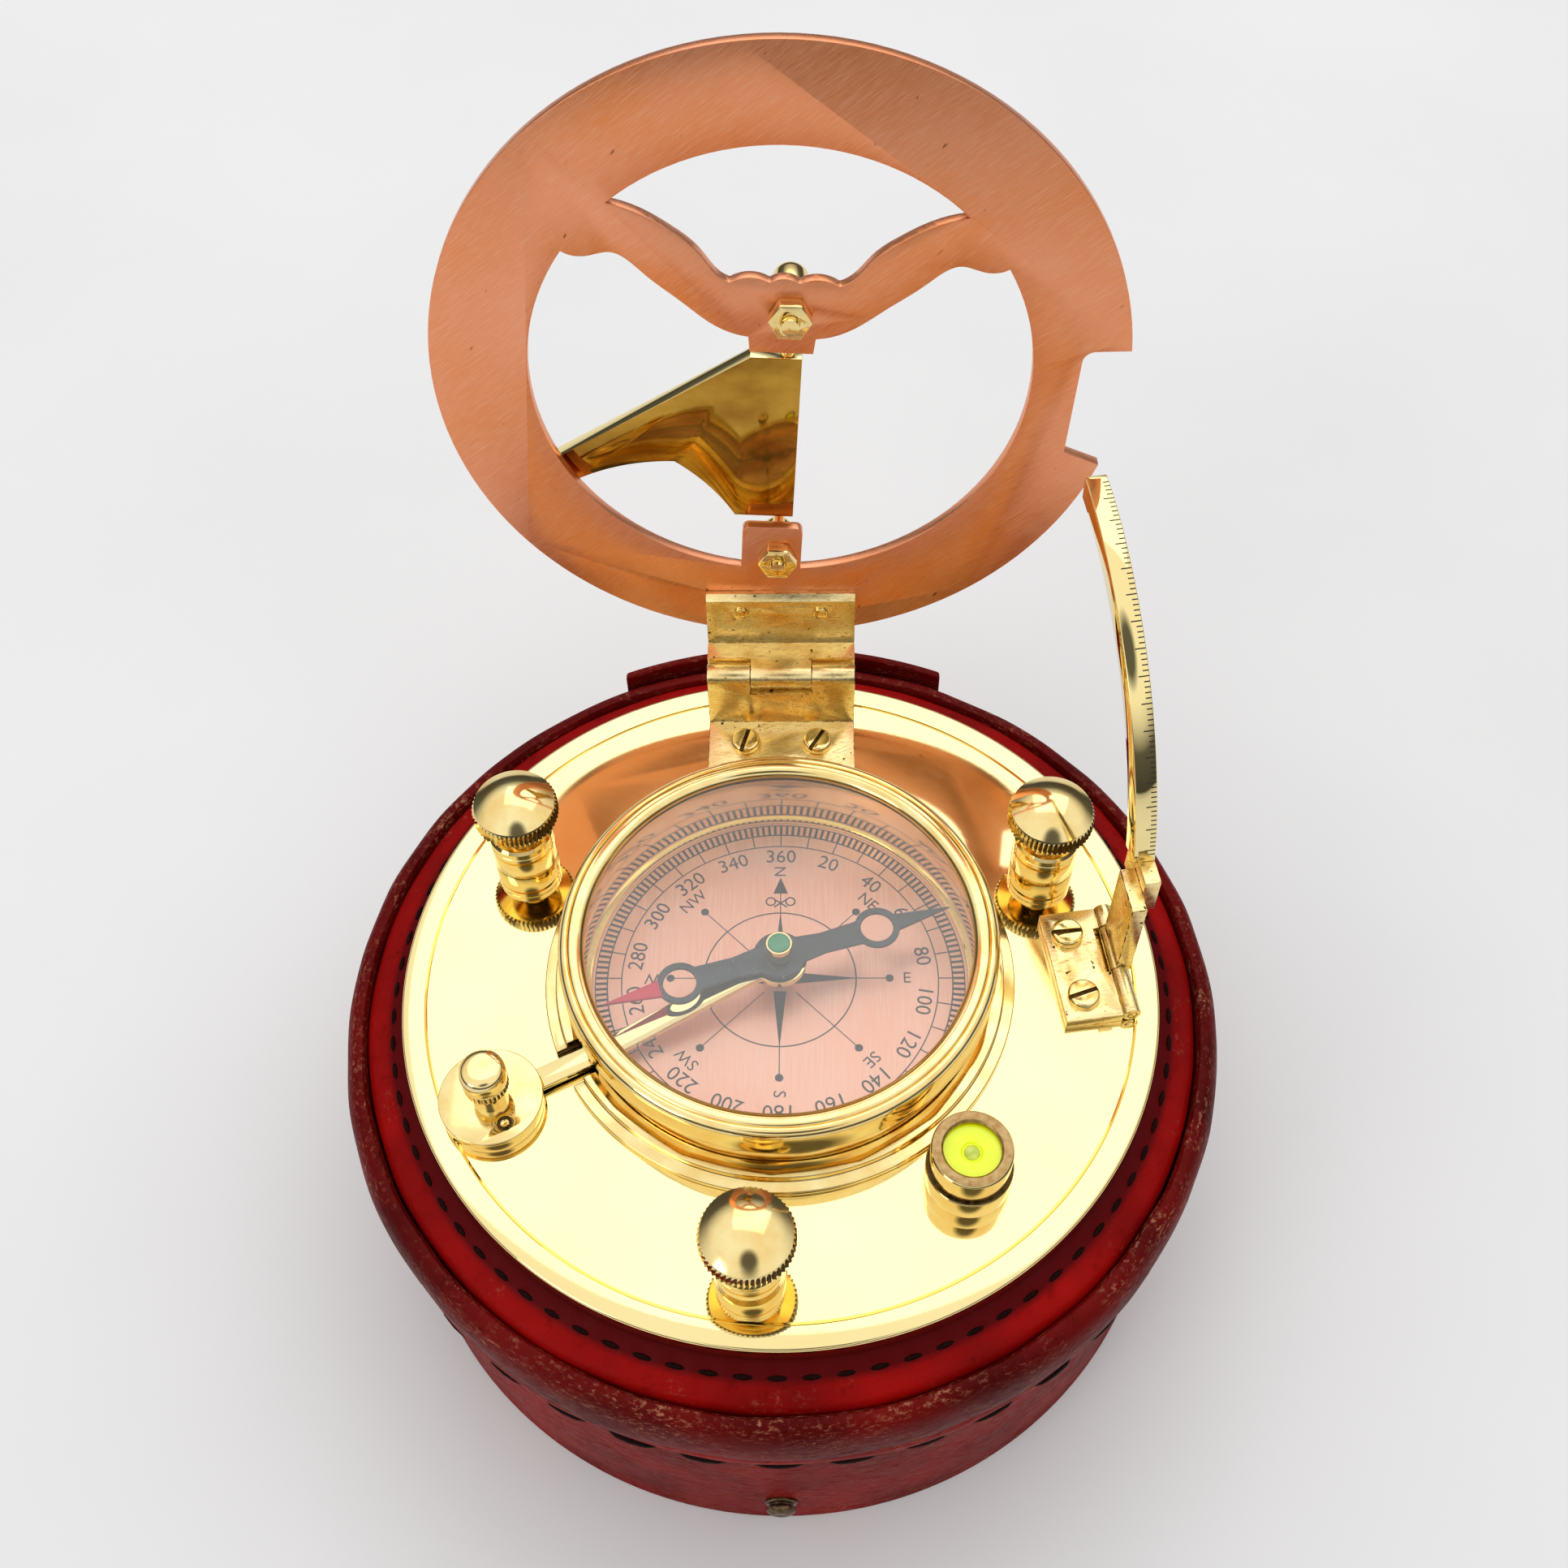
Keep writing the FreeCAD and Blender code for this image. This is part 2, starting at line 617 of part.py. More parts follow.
def ring_pieces():
    ring = on_ring(hour_ring_flat()).cut(opened(leaf_rivets(seat_gap)))
    nuts = [post_nut(place) for place in (post_place_top, post_place_bottom)]
    return {
        "hour_ring": ring,
        "gnomon_post_hub": on_ring(gnomon_post(post_place_top, hub_post_height)),
        "gnomon_post_foot": on_ring(gnomon_post(post_place_bottom, foot_post_height)),
        "gnomon_nuts": on_ring(Part.makeCompound(nuts)),
    }


def pivot_line(radius, low, high):
    height = ring_thickness + gnomon_lift
    return Part.makeCylinder(radius, high - low, V(post_side, low, height), Y_AXIS)


def gnomon_post(place, height):
    top = ring_thickness + height
    body = disc(post_radius, ring_thickness, top - post_radius, (post_side, place))
    dome = Part.makeSphere(post_radius, V(post_side, place, top - post_radius))
    stud_low = -nut_height - stud_bolt_end
    stud = disc(stud_bolt_radius, stud_low, ring_thickness, (post_side, place))
    eye = pivot_line(gnomon_pin_radius + running_gap, place - 2 * post_radius, place + 2 * post_radius)
    return joined(body, dome, stud).cut(eye)


def post_nut(place):
    corner = nut_flats / 2 / math.cos(math.radians(30))
    points = [polar(corner, 60 * i) for i in range(6)]
    nut = slab([(x + post_side, y + place) for x, y in points], -nut_height, 0)
    return nut.cut(disc(stud_bolt_radius + seat_gap, -nut_height - 1, 1, (post_side, place)))


def gnomon_pieces():
    """Blade folded flat beside its pivot line, with a pin at each end that turns in a post."""
    mid = ring_thickness + gnomon_lift
    low = mid - gnomon_thickness / 2
    right = post_side + gnomon_right
    tip_low = V(-26.8, -18.8, low)
    notch = V(-13.4, -14.9, low)
    corners = [V(-5.2, gnomon_foot, low), V(right, gnomon_foot, low), V(right, gnomon_top, low),
               V(-3.8, gnomon_top, low), V(-29.1, -15.1, low), tip_low]
    edges = [Part.makeLine(a, b) for a, b in zip(corners, corners[1:])]
    edges.append(Part.Arc(tip_low, V(-19.4, -15.7, low), notch).toShape())
    edges.append(Part.Arc(notch, V(-9.0, -18.6, low), corners[0]).toShape())
    blade = Part.Face(Part.Wire(edges)).extrude(V(0, 0, gnomon_thickness))
    pin_top = (gnomon_top - gnomon_pin_hold, post_place_top + post_radius)
    pin_foot = (post_place_bottom - post_radius, gnomon_foot + gnomon_pin_hold)
    pins = [pivot_line(gnomon_pin_radius, *span) for span in (pin_top, pin_foot)]
    holes = [pivot_line(gnomon_pin_radius + seat_gap, *span) for span in (pin_top, pin_foot)]
    for hole in holes:
        blade = blade.cut(hole)
    return {"gnomon": on_ring(blade), "gnomon_pins": on_ring(Part.makeCompound(pins))}


# ---- latitude arc: drawn at its pin, with x outwards and y along the pin, then put on the plate ----
def on_block(shape):
    return moved(turned(shape, block_angle), block_centre[0], block_centre[1], plate_top)


def arc_pin_line(radius, low, high):
    return Part.makeCylinder(radius, high - low, V(arc_pin_offset, low, arc_pin_height), Y_AXIS)


def arc_block():
    half = block_length / 2
    leaf = block((-block_width / 2, -half, 0), (block_width / 2, half, block_thickness))
    window_out = arc_pin_offset + arc_knuckle_radius + 1
    window = block((arc_pin_offset - arc_knuckle_radius - fold_relief, lug_low - side_gap, -1),
                   (window_out, lug_high + side_gap, block_thickness + 2))
    barrel = arc_pin_line(arc_knuckle_radius, -half, half)
    leaf = joined(leaf.cut(window), barrel.cut(window)).cut(arc_pin_line(arc_pin_radius + seat_gap, -half - 1, half + 1))
    leaf = on_block(leaf)
    for spot in block_screw_spots():
        leaf = leaf.cut(disc(mount_screw_shank + seat_gap, plate_top - 1, plate_top + block_thickness + 1, spot))
    return leaf


def arc_lug():
    """Knuckle on the pin, the upright lug and the shelf under the arc's lower end."""
    barrel = arc_pin_line(arc_knuckle_radius, lug_low, lug_high)
    lug_in = arc_pin_offset - lug_inset
    upright = block((lug_in, lug_low, arc_pin_height), (lug_in + lug_thickness, lug_high, lug_top))
    lug = joined(barrel, upright)
    lug = lug.cut(arc_pin_line(arc_pin_radius + running_gap, lug_low - 1, lug_high + 1))
    return on_block(lug)


def latitude_arc():
    centre = V(0, arc_centre_y, hinge_height)
    sector = Part.makeCylinder(arc_outer_radius, arc_thickness, centre, X_AXIS, 360)
    sector = sector.cut(Part.makeCylinder(arc_inner_radius, arc_thickness, centre, X_AXIS, 360))
    reach = 2 * arc_outer_radius
    rays = [V(0, arc_centre_y - reach * math.cos(math.radians(a)), hinge_height + reach * math.sin(math.radians(a)))
            for a in (arc_start, (arc_start + arc_end) / 2, arc_end)]
    wedge = Part.Face(Part.makePolygon([centre, *rays, centre])).extrude(V(arc_thickness, 0, 0))
    arc = sector.common(wedge)
    arc = moved(arc, arc_pin_offset + arc_offset - arc_thickness, 0, 0)
    arc = turned(arc, -arc_lean, Y_AXIS, V(arc_pin_offset, 0, arc_pin_height))
    return on_block(arc)


def arc_bracket():
    """Seat between the lug's outer face and the arc's lower end, cut to the arc."""
    lug_face = arc_pin_offset - lug_inset + lug_thickness
    seat = block((lug_face, lug_high - bracket_grip, lug_top - bracket_grip),
                 (arc_pin_offset + arc_offset - bracket_inset, lug_high + bracket_reach, lug_top + bracket_rise))
    return on_block(seat).cut(latitude_arc())


def arc_pieces():
    half = block_length / 2
    return {
        "arc_block": arc_block(),
        "arc_pin": on_block(arc_pin_line(arc_pin_radius, -half, half)),
        "arc_lug": arc_lug(),
        "arc_bracket": arc_bracket(),
        "latitude_arc": latitude_arc(),
    }


def all_pieces():
    pieces = {"base_plate": base_plate()}
    for group in (case_pieces(), compass_pieces(), needle_pieces(), lock_pieces(), level_pieces(), mount_screws(),
                  hinge_pieces(), ring_pieces(), gnomon_pieces(), arc_pieces()):
        pieces.update(group)
    for side, angle in screw_angles.items():
        pieces.update(levelling_screw(side, angle))
    return pieces


os.makedirs("parts", exist_ok=True)
for name, shape in all_pieces().items():
    shape.exportStep(f"parts/{name}.step")
    box = shape.BoundBox
    print(f"{name:20s} solids {len(shape.Solids)} valid {shape.isValid()} volume {shape.Volume:9.1f}  "
          f"x {box.XMin:6.1f} {box.XMax:6.1f}  y {box.YMin:6.1f} {box.YMax:6.1f}  z {box.ZMin:6.1f} {box.ZMax:6.1f}")
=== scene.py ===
# %% [markdown]
# # A pocket sundial in the base of its leather case
# The instrument is a brass plate with a compass, a hinged hour ring with a folding gnomon, a latitude
# arc, a bull's-eye level and three levelling screws. The frame holds every size and every joint, so
# this script only dresses it: it makes finer meshes where the eye looks closely, and a finish for each
# piece. Turned brass is spun, flat brass is copied from the frame and bevelled, leather is spun and
# then pushed about a little so that it looks soft.

# %% Load the frame
import math

import bmesh
import bpy
from mathutils import Matrix, Vector, noise


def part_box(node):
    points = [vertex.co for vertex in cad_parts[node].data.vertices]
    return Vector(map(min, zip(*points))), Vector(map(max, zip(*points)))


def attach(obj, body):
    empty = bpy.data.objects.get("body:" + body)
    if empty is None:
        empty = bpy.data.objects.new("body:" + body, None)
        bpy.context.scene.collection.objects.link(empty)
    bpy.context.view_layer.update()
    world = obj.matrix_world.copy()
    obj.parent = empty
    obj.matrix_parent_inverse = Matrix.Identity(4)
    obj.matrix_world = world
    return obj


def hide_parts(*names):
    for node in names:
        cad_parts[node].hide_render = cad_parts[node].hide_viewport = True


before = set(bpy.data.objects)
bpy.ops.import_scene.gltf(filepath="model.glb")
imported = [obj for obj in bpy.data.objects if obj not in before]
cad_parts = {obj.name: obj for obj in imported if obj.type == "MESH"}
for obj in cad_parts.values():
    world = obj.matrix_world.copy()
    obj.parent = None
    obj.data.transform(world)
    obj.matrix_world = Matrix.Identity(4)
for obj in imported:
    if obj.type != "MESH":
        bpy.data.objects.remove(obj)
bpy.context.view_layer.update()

# %% [markdown]
# ## Measures
# The frame works in metres and a maker works in millimetres. Three small helpers read a node's box and
# give back millimetres, so that every size below is counted from the frame and none from memory.

# %% Measures
MM = 0.001
ORIGIN = Vector((0, 0, 0))


def heights(node):
    """The lowest and the highest level of a node."""
    return [corner.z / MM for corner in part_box(node)]


def out_to(node):
    """How far a node goes to the right, which is the radius of one that is centred on the plate."""
    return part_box(node)[1].x / MM


def middle(node):
    low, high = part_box(node)
    return (low + high) / (2 * MM)


PLATE_TOP = heights("base_plate")[1]
print("plate face at", round(PLATE_TOP, 2), "mm")

# %% [markdown]
# ## Helpers for shapes
# Most of the instrument was made on a lathe, so most pieces are an outline spun round an axis. An
# outline is a short list of radius and height in millimetres. After the spin, every edge that turns
# sharply gets a small bevel, because real metal edges catch a line of light and perfectly sharp ones
# don't.

# %% Spinning an outline
def moved(bm, x, y):
    """Shift a whole shape across the plate, in millimetres."""
    bmesh.ops.translate(bm, vec=(x * MM, y * MM, 0), verts=bm.verts)


def turned(bm, verts, angle, axis="Z"):
    """Turn points about an axis through the origin."""
    bmesh.ops.rotate(bm, cent=ORIGIN, matrix=Matrix.Rotation(angle, 3, axis), verts=verts)


def round_edges(bm, width, least_turn=25, segments=3, edge_finish=-1):
    sharp = [e for e in bm.edges if len(e.link_faces) == 2 and e.calc_face_angle(0) > math.radians(least_turn)]
    bmesh.ops.bevel(bm, geom=sharp, offset=width * MM, offset_type="OFFSET", segments=segments, profile=0.5,
                    affect="EDGES", material=edge_finish, clamp_overlap=True)


def lathe(outline, steps=128, hollow=False, rounding=0.15, centre=(0, 0)):
    """Spin an outline of (radius, height) about an upright axis; a hollow one is a closed loop."""
    bm = bmesh.new()
    verts = [bm.verts.new((r * MM, 0, z * MM)) for r, z in outline]
    ends = verts[1:] + verts[:1] if hollow else verts[1:]
    edges = [bm.edges.new(pair) for pair in zip(verts, ends)]
    bmesh.ops.spin(bm, geom=verts + edges, cent=ORIGIN, axis=(0, 0, 1), dvec=ORIGIN, angle=math.tau,
                   steps=steps, use_merge=True, use_normal_flip=False, use_duplicate=False)
    bmesh.ops.remove_doubles(bm, verts=bm.verts, dist=1e-7)
    bmesh.ops.recalc_face_normals(bm, faces=bm.faces)
    if rounding:
        round_edges(bm, rounding)
    moved(bm, centre[0], centre[1])
    return bm


# %% [markdown]
# Flat and bent pieces are already right in the frame, and only their edges are too sharp. A copy is
# merged, because a node's triangles are loose, its flat faces are made whole, and then it is bevelled.
# Making those shapes again by hand would risk a piece that no longer fits its neighbours.

# %% Copying from the frame
def cad_copy(node, rounding=0.12, least_turn=30, segments=2, edge_finish=-1):
    """A merged copy of a frame node, its flat faces made whole and its edges bevelled."""
    bm = bmesh.new()
    bm.from_mesh(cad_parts[node].data)
    bmesh.ops.remove_doubles(bm, verts=bm.verts, dist=2e-6)
    bmesh.ops.dissolve_limit(bm, angle_limit=math.radians(0.8), use_dissolve_boundaries=False,
                             verts=bm.verts, edges=bm.edges)
    for face in bm.faces:
        face.material_index = 0
    if rounding:
        round_edges(bm, rounding, least_turn, segments, edge_finish)
    return bm


def refinish(node, finish):
    """Give a frame node that stays in view a better finish."""
    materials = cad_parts[node].data.materials
    materials.clear()
    materials.append(finish)
    print("finish", finish.name, "on node", node)


# %% [markdown]
# `finished` turns a bmesh into an object at the origin that rides on its body. Smooth shading suits
# round faces, but it bends the light on a broad flat face with bevelled edges, so faces are sorted
# first: a face of a turned surface meets its neighbours at slight angles, and a flat one doesn't.

# %% Finishing a piece
def is_curved(face):
    """A face of a round surface meets its neighbours at slight angles along a good part of its outline."""
    slight = sum(edge.calc_length() for edge in face.edges if len(edge.link_faces) == 2
                 and math.radians(0.4) < edge.calc_face_angle(0) < math.radians(9))
    return slight > 0.2 * sum(edge.calc_length() for edge in face.edges)


def finished(bm, name, finish, body, replaces=(), smooth=38):
    for face in bm.faces:
        face.smooth = is_curved(face) or face.calc_area() < 0.5 * MM * MM
    mesh = bpy.data.meshes.new(name)
    bm.to_mesh(mesh)
    bm.free()
    mesh.set_sharp_from_angle(angle=math.radians(smooth))
    for one in finish if isinstance(finish, tuple) else (finish,):
        mesh.materials.append(one)
    piece = bpy.data.objects.new(name, mesh)
    bpy.context.scene.collection.objects.link(piece)
    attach(piece, body)
    if replaces:
        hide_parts(*replaces)
    print("made", name, "of", len(mesh.polygons), "faces, riding on", body)


def merge_into(bm, part):
    """Add a second bmesh to the first."""
    spare = bpy.data.meshes.new("spare")
    part.to_mesh(spare)
    part.free()
    bm.from_mesh(spare)
    bpy.data.meshes.remove(spare)


# %% [markdown]
# ## Helpers for finishes
# Every finish is a Principled shader fed by noise on Object coordinates. The helpers below each add
# one node and give back its output, so that a finish reads as a short recipe: where the pattern sits,
# how it is stretched, which colours it runs between, and how deep it is.

# %% Patterns
class Pattern:
    """A new material and the noises that its finish is made from."""

    def __init__(self, name, **constants):
        self.material = bpy.data.materials.new(name)
        self.material.use_nodes = True
        self.nodes = self.material.node_tree.nodes
        self.links = self.material.node_tree.links
        self.shader = self.nodes["Principled BSDF"]
        for socket, value in constants.items():
            self.shader.inputs[socket.replace("_", " ")].default_value = value
        print("finish", name)

    def place(self, centre=(0, 0, 0), turn=(0, 0, 0), stretch=(1, 1, 1)):
        """Object coordinates in millimetres about a centre, turned, then stretched."""
        source = self.nodes.new("ShaderNodeTexCoord").outputs["Object"]
        shift = self.nodes.new("ShaderNodeMapping")
        shift.inputs["Location"].default_value = [-c / MM for c in centre]
        shift.inputs["Scale"].default_value = (1 / MM,) * 3
        self.links.new(source, shift.inputs["Vector"])
        bend = self.nodes.new("ShaderNodeMapping")
        bend.inputs["Rotation"].default_value = [math.radians(t) for t in turn]
        self.links.new(shift.outputs[0], bend.inputs["Vector"])
        pull = self.nodes.new("ShaderNodeMapping")
        pull.inputs["Scale"].default_value = stretch
        self.links.new(bend.outputs[0], pull.inputs["Vector"])
        return pull.outputs[0]

    def rings(self, centre):
        """Distance from an upright axis and height, for the marks a lathe leaves."""
        apart = self.nodes.new("ShaderNodeSeparateXYZ")
        self.links.new(self.place(centre), apart.inputs[0])
        flat = self.nodes.new("ShaderNodeCombineXYZ")
        self.links.new(apart.outputs[0], flat.inputs[0])
        self.links.new(apart.outputs[1], flat.inputs[1])
        reach = self.nodes.new("ShaderNodeVectorMath")
        reach.operation = "LENGTH"
        self.links.new(flat.outputs[0], reach.inputs[0])
        both = self.nodes.new("ShaderNodeCombineXYZ")
        self.links.new(reach.outputs["Value"], both.inputs[0])
        self.links.new(apart.outputs[2], both.inputs[2])
        return both.outputs[0]

    def speckle(self, where, scale, detail, roughness):
        node = self.nodes.new("ShaderNodeTexNoise")
        node.inputs["Scale"].default_value = scale
        node.inputs["Detail"].default_value = detail
        node.inputs["Roughness"].default_value = roughness
        self.links.new(where, node.inputs["Vector"])
        return node.outputs[0]

    def grain(self, detail, roughness=0.5, **placing):
        return self.speckle(self.place(**placing), 1, detail, roughness)

    def pebbles(self, where, scale):
        node = self.nodes.new("ShaderNodeTexVoronoi")
        node.feature = "SMOOTH_F1"
        node.inputs["Scale"].default_value = scale
        self.links.new(where, node.inputs["Vector"])
        return node.outputs["Distance"]


# %% [markdown]
# The second half of the helpers mixes those noises and feeds them to the shader. `curve` picks out the
# part of a noise that matters, `blend` runs between two colours, and `relief` is a bump whose depth is
# in millimetres, so that a scratch is as deep as a real one.

# %% Mixing patterns into a finish
class Recipe(Pattern):
    """Arithmetic on patterns, and the ways into the shader."""

    def curve(self, value, low, high, out_low=0.0, out_high=1.0):
        node = self.nodes.new("ShaderNodeMapRange")
        node.clamp = True
        for socket, number in zip(("From Min", "From Max", "To Min", "To Max"), (low, high, out_low, out_high)):
            node.inputs[socket].default_value = number
        self.links.new(value, node.inputs["Value"])
        return node.outputs[0]

    def times(self, first, second):
        node = self.nodes.new("ShaderNodeMath")
        node.operation = "MULTIPLY"
        for socket, value in zip(node.inputs, (first, second)):
            if isinstance(value, (int, float)):
                socket.default_value = value
            else:
                self.links.new(value, socket)
        return node.outputs[0]

    def plus(self, first, second):
        out = self.times(first, second)
        out.node.operation = "ADD"
        return out

    def blend(self, share, first, second):
        node = self.nodes.new("ShaderNodeMix")
        node.data_type = "RGBA"
        self.links.new(share, node.inputs["Factor"])
        for socket, value in zip(("A", "B"), (first, second)):
            target = next(i for i in node.inputs if i.name == socket and i.type == "RGBA")
            if isinstance(value, tuple):
                target.default_value = (*value, 1)
            else:
                self.links.new(value, target)
        return next(o for o in node.outputs if o.type == "RGBA")

    def colour(self, value):
        self.links.new(value, self.shader.inputs["Base Color"])

    def rough(self, value):
        self.links.new(value, self.shader.inputs["Roughness"])

    def relief(self, height, depth):
        """Bump of a depth in millimetres."""
        node = self.nodes.new("ShaderNodeBump")
        node.inputs["Strength"].default_value = 1.0
        node.inputs["Distance"].default_value = depth * MM
        self.links.new(height, node.inputs["Height"])
        self.links.new(node.outputs[0], self.shader.inputs["Normal"])


# %% [markdown]
# ## Polished brass
# The plate and the arc are buffed to a mirror, with faint hairlines and smears. The gnomon has an
# amber lacquer over the same polish. Turned pieces keep fine rings round their own axis, so each group
# has a finish centred on it.

# %% Polished brass
PALE_BRASS = (0.95, 0.79, 0.38)
WARM_BRASS = (0.88, 0.62, 0.23)


def mirror_brass():
    recipe = Recipe("mirror_brass", Metallic=1.0)
    smear = recipe.grain(4, stretch=(0.06, 0.05, 0.06))
    hairline = recipe.grain(2, turn=(0, 0, 24), stretch=(0.25, 9, 9))
    recipe.colour(recipe.blend(recipe.curve(smear, 0.3, 0.75), PALE_BRASS, (0.93, 0.75, 0.33)))
    recipe.rough(recipe.plus(recipe.curve(smear, 0.35, 0.75, 0.035, 0.075),
                             recipe.curve(hairline, 0.62, 0.8, 0, 0.09)))
    recipe.relief(hairline, 0.0006)
    return recipe.material


def turned_brass(name, centre):
    recipe = Recipe("turned_brass_" + name, Metallic=1.0)
    marks = recipe.speckle(recipe.rings([c * MM for c in (*centre, 0)]), 7.0, 3, 0.6)
    tint = recipe.grain(3, stretch=(0.3, 0.3, 0.3))
    recipe.colour(recipe.blend(recipe.curve(tint, 0.3, 0.7), PALE_BRASS, WARM_BRASS))
    recipe.rough(recipe.curve(marks, 0.3, 0.75, 0.07, 0.15))
    recipe.relief(marks, 0.0008)
    return recipe.material


def amber_brass():
    recipe = Recipe("amber_brass", Metallic=1.0)
    cloud = recipe.grain(4, stretch=(0.10, 0.10, 0.16))
    hairline = recipe.grain(2, turn=(0, 30, 0), stretch=(0.3, 9, 9))
    recipe.colour(recipe.blend(recipe.curve(cloud, 0.35, 0.65), (0.56, 0.31, 0.045), (0.30, 0.135, 0.018)))
    recipe.rough(recipe.plus(recipe.curve(cloud, 0.35, 0.75, 0.05, 0.1), recipe.curve(hairline, 0.6, 0.8, 0, 0.1)))
    recipe.relief(hairline, 0.001)
    return recipe.material


MIRROR = mirror_brass()
AMBER = amber_brass()
COMPASS_BRASS = turned_brass("compass", (0, 0))

# %% [markdown]
# ## Filed, dirty and dark brass
# The hinges and the block were only filed: patchy, with straight scratches crossing each other and a
# few dark pits. Old polish and oil stay where no cloth reaches, so edges of filed pieces are grimy.
# Slots, grooves and the gaps of knurling get a nearly black finish, which is painted shade. The
# level's ring is bronze. Those three are one even mottle in other colours.

# %% Filed, dirty and dark brass
def filed_brass():
    recipe = Recipe("filed_brass", Metallic=1.0)
    strokes = recipe.grain(4, 0.62, turn=(0, 0, 62), stretch=(3.2, 0.22, 1.1))
    across = recipe.grain(4, 0.62, turn=(0, 0, 8), stretch=(0.2, 3.6, 3.6))
    patches = recipe.grain(5, 0.6, stretch=(0.25, 0.3, 0.35))
    pits = recipe.grain(2, stretch=(1.1, 0.8, 1.1))
    both = recipe.times(recipe.plus(strokes, across), 0.5)
    base = recipe.blend(recipe.curve(patches, 0.40, 0.70), (1.0, 0.82, 0.42), (0.88, 0.62, 0.24))
    dark = recipe.blend(recipe.curve(both, 0.55, 0.66), base, (0.55, 0.34, 0.10))
    recipe.colour(recipe.blend(recipe.curve(pits, 0.69, 0.73), dark, (0.05, 0.03, 0.012)))
    recipe.rough(recipe.curve(both, 0.35, 0.65, 0.16, 0.36))
    recipe.relief(both, 0.02)
    return recipe.material


def mottled_metal(name, grain, detail, edges, first, second, rough, depth, coarseness=0.5):
    """Metal under an even mottle; `edges` says where in the noise one colour passes into the other."""
    recipe = Recipe(name, Metallic=1.0)
    mottle = recipe.grain(detail, coarseness, stretch=(grain,) * 3)
    recipe.colour(recipe.blend(recipe.curve(mottle, *edges), first, second))
    recipe.rough(recipe.curve(mottle, *rough))
    recipe.relief(mottle, depth)
    return recipe.material


FILED = filed_brass()
GRIMY = mottled_metal("grimy_edge", 0.7, 5, (0.47, 0.56), (0.90, 0.70, 0.32), (0.07, 0.04, 0.012),
                      (0.4, 0.6, 0.2, 0.5), 0.03, 0.6)
# Painted shade: a nearly black mottle laid in slots, grooves and the gaps of knurling, where little light reaches.
PAINTED_SHADE = mottled_metal("painted_shade_brass", 1.5, 3, (0.35, 0.65), (0.03, 0.018, 0.006), (0.12, 0.07, 0.02),
                      (0.35, 0.65, 0.3, 0.5), 0.02)
BRONZE = mottled_metal("aged_bronze", 1.4, 4, (0.3, 0.7), (0.30, 0.17, 0.06), (0.52, 0.36, 0.16),
                       (0.3, 0.7, 0.3, 0.45), 0.02)

# %% [markdown]
# ## Copper
# The hour ring is sheet brass under a copper wash, rubbed with fine abrasive in long slanting strokes.
# Stretching noise a hundredfold along one line gives those strokes, and a second, slower noise darkens
# patches where hands have been. The compass card is the same metal with finer, upright strokes.

# %% Copper finishes
def brushed_copper():
    recipe = Recipe("brushed_copper", Metallic=1.0)
    strokes = recipe.grain(3, 0.6, turn=(0, 38, 0), stretch=(0.1, 6, 10))
    cross = recipe.grain(2, turn=(0, -28, 0), stretch=(0.12, 5, 8))
    hands = recipe.grain(4, stretch=(0.05, 0.05, 0.06))
    marks = recipe.grain(3, turn=(0, 55, 0), stretch=(0.5, 1, 1.6))
    base = recipe.blend(recipe.curve(hands, 0.35, 0.7), (0.87, 0.34, 0.18), (0.82, 0.27, 0.09))
    fine = recipe.blend(recipe.curve(strokes, 0.45, 0.8), base, (0.94, 0.46, 0.28))
    recipe.colour(recipe.blend(recipe.curve(marks, 0.72, 0.78), fine, (0.34, 0.12, 0.05)))
    recipe.rough(recipe.curve(strokes, 0.3, 0.7, 0.26, 0.42))
    recipe.relief(recipe.plus(strokes, recipe.times(cross, 0.5)), 0.012)
    return recipe.material


def card_copper():
    recipe = Recipe("card_copper", Metallic=0.75)
    strokes = recipe.grain(3, 0.6, stretch=(6, 0.12, 1))
    warmth = recipe.grain(3, stretch=(0.07, 0.07, 1))
    base = recipe.blend(recipe.curve(warmth, 0.35, 0.7), (0.90, 0.50, 0.36), (0.88, 0.44, 0.29))
    recipe.colour(recipe.blend(recipe.curve(strokes, 0.45, 0.8), base, (0.97, 0.66, 0.54)))
    recipe.rough(recipe.curve(strokes, 0.3, 0.7, 0.34, 0.5))
    recipe.relief(strokes, 0.006)
    return recipe.material


COPPER = brushed_copper()
CARD = card_copper()
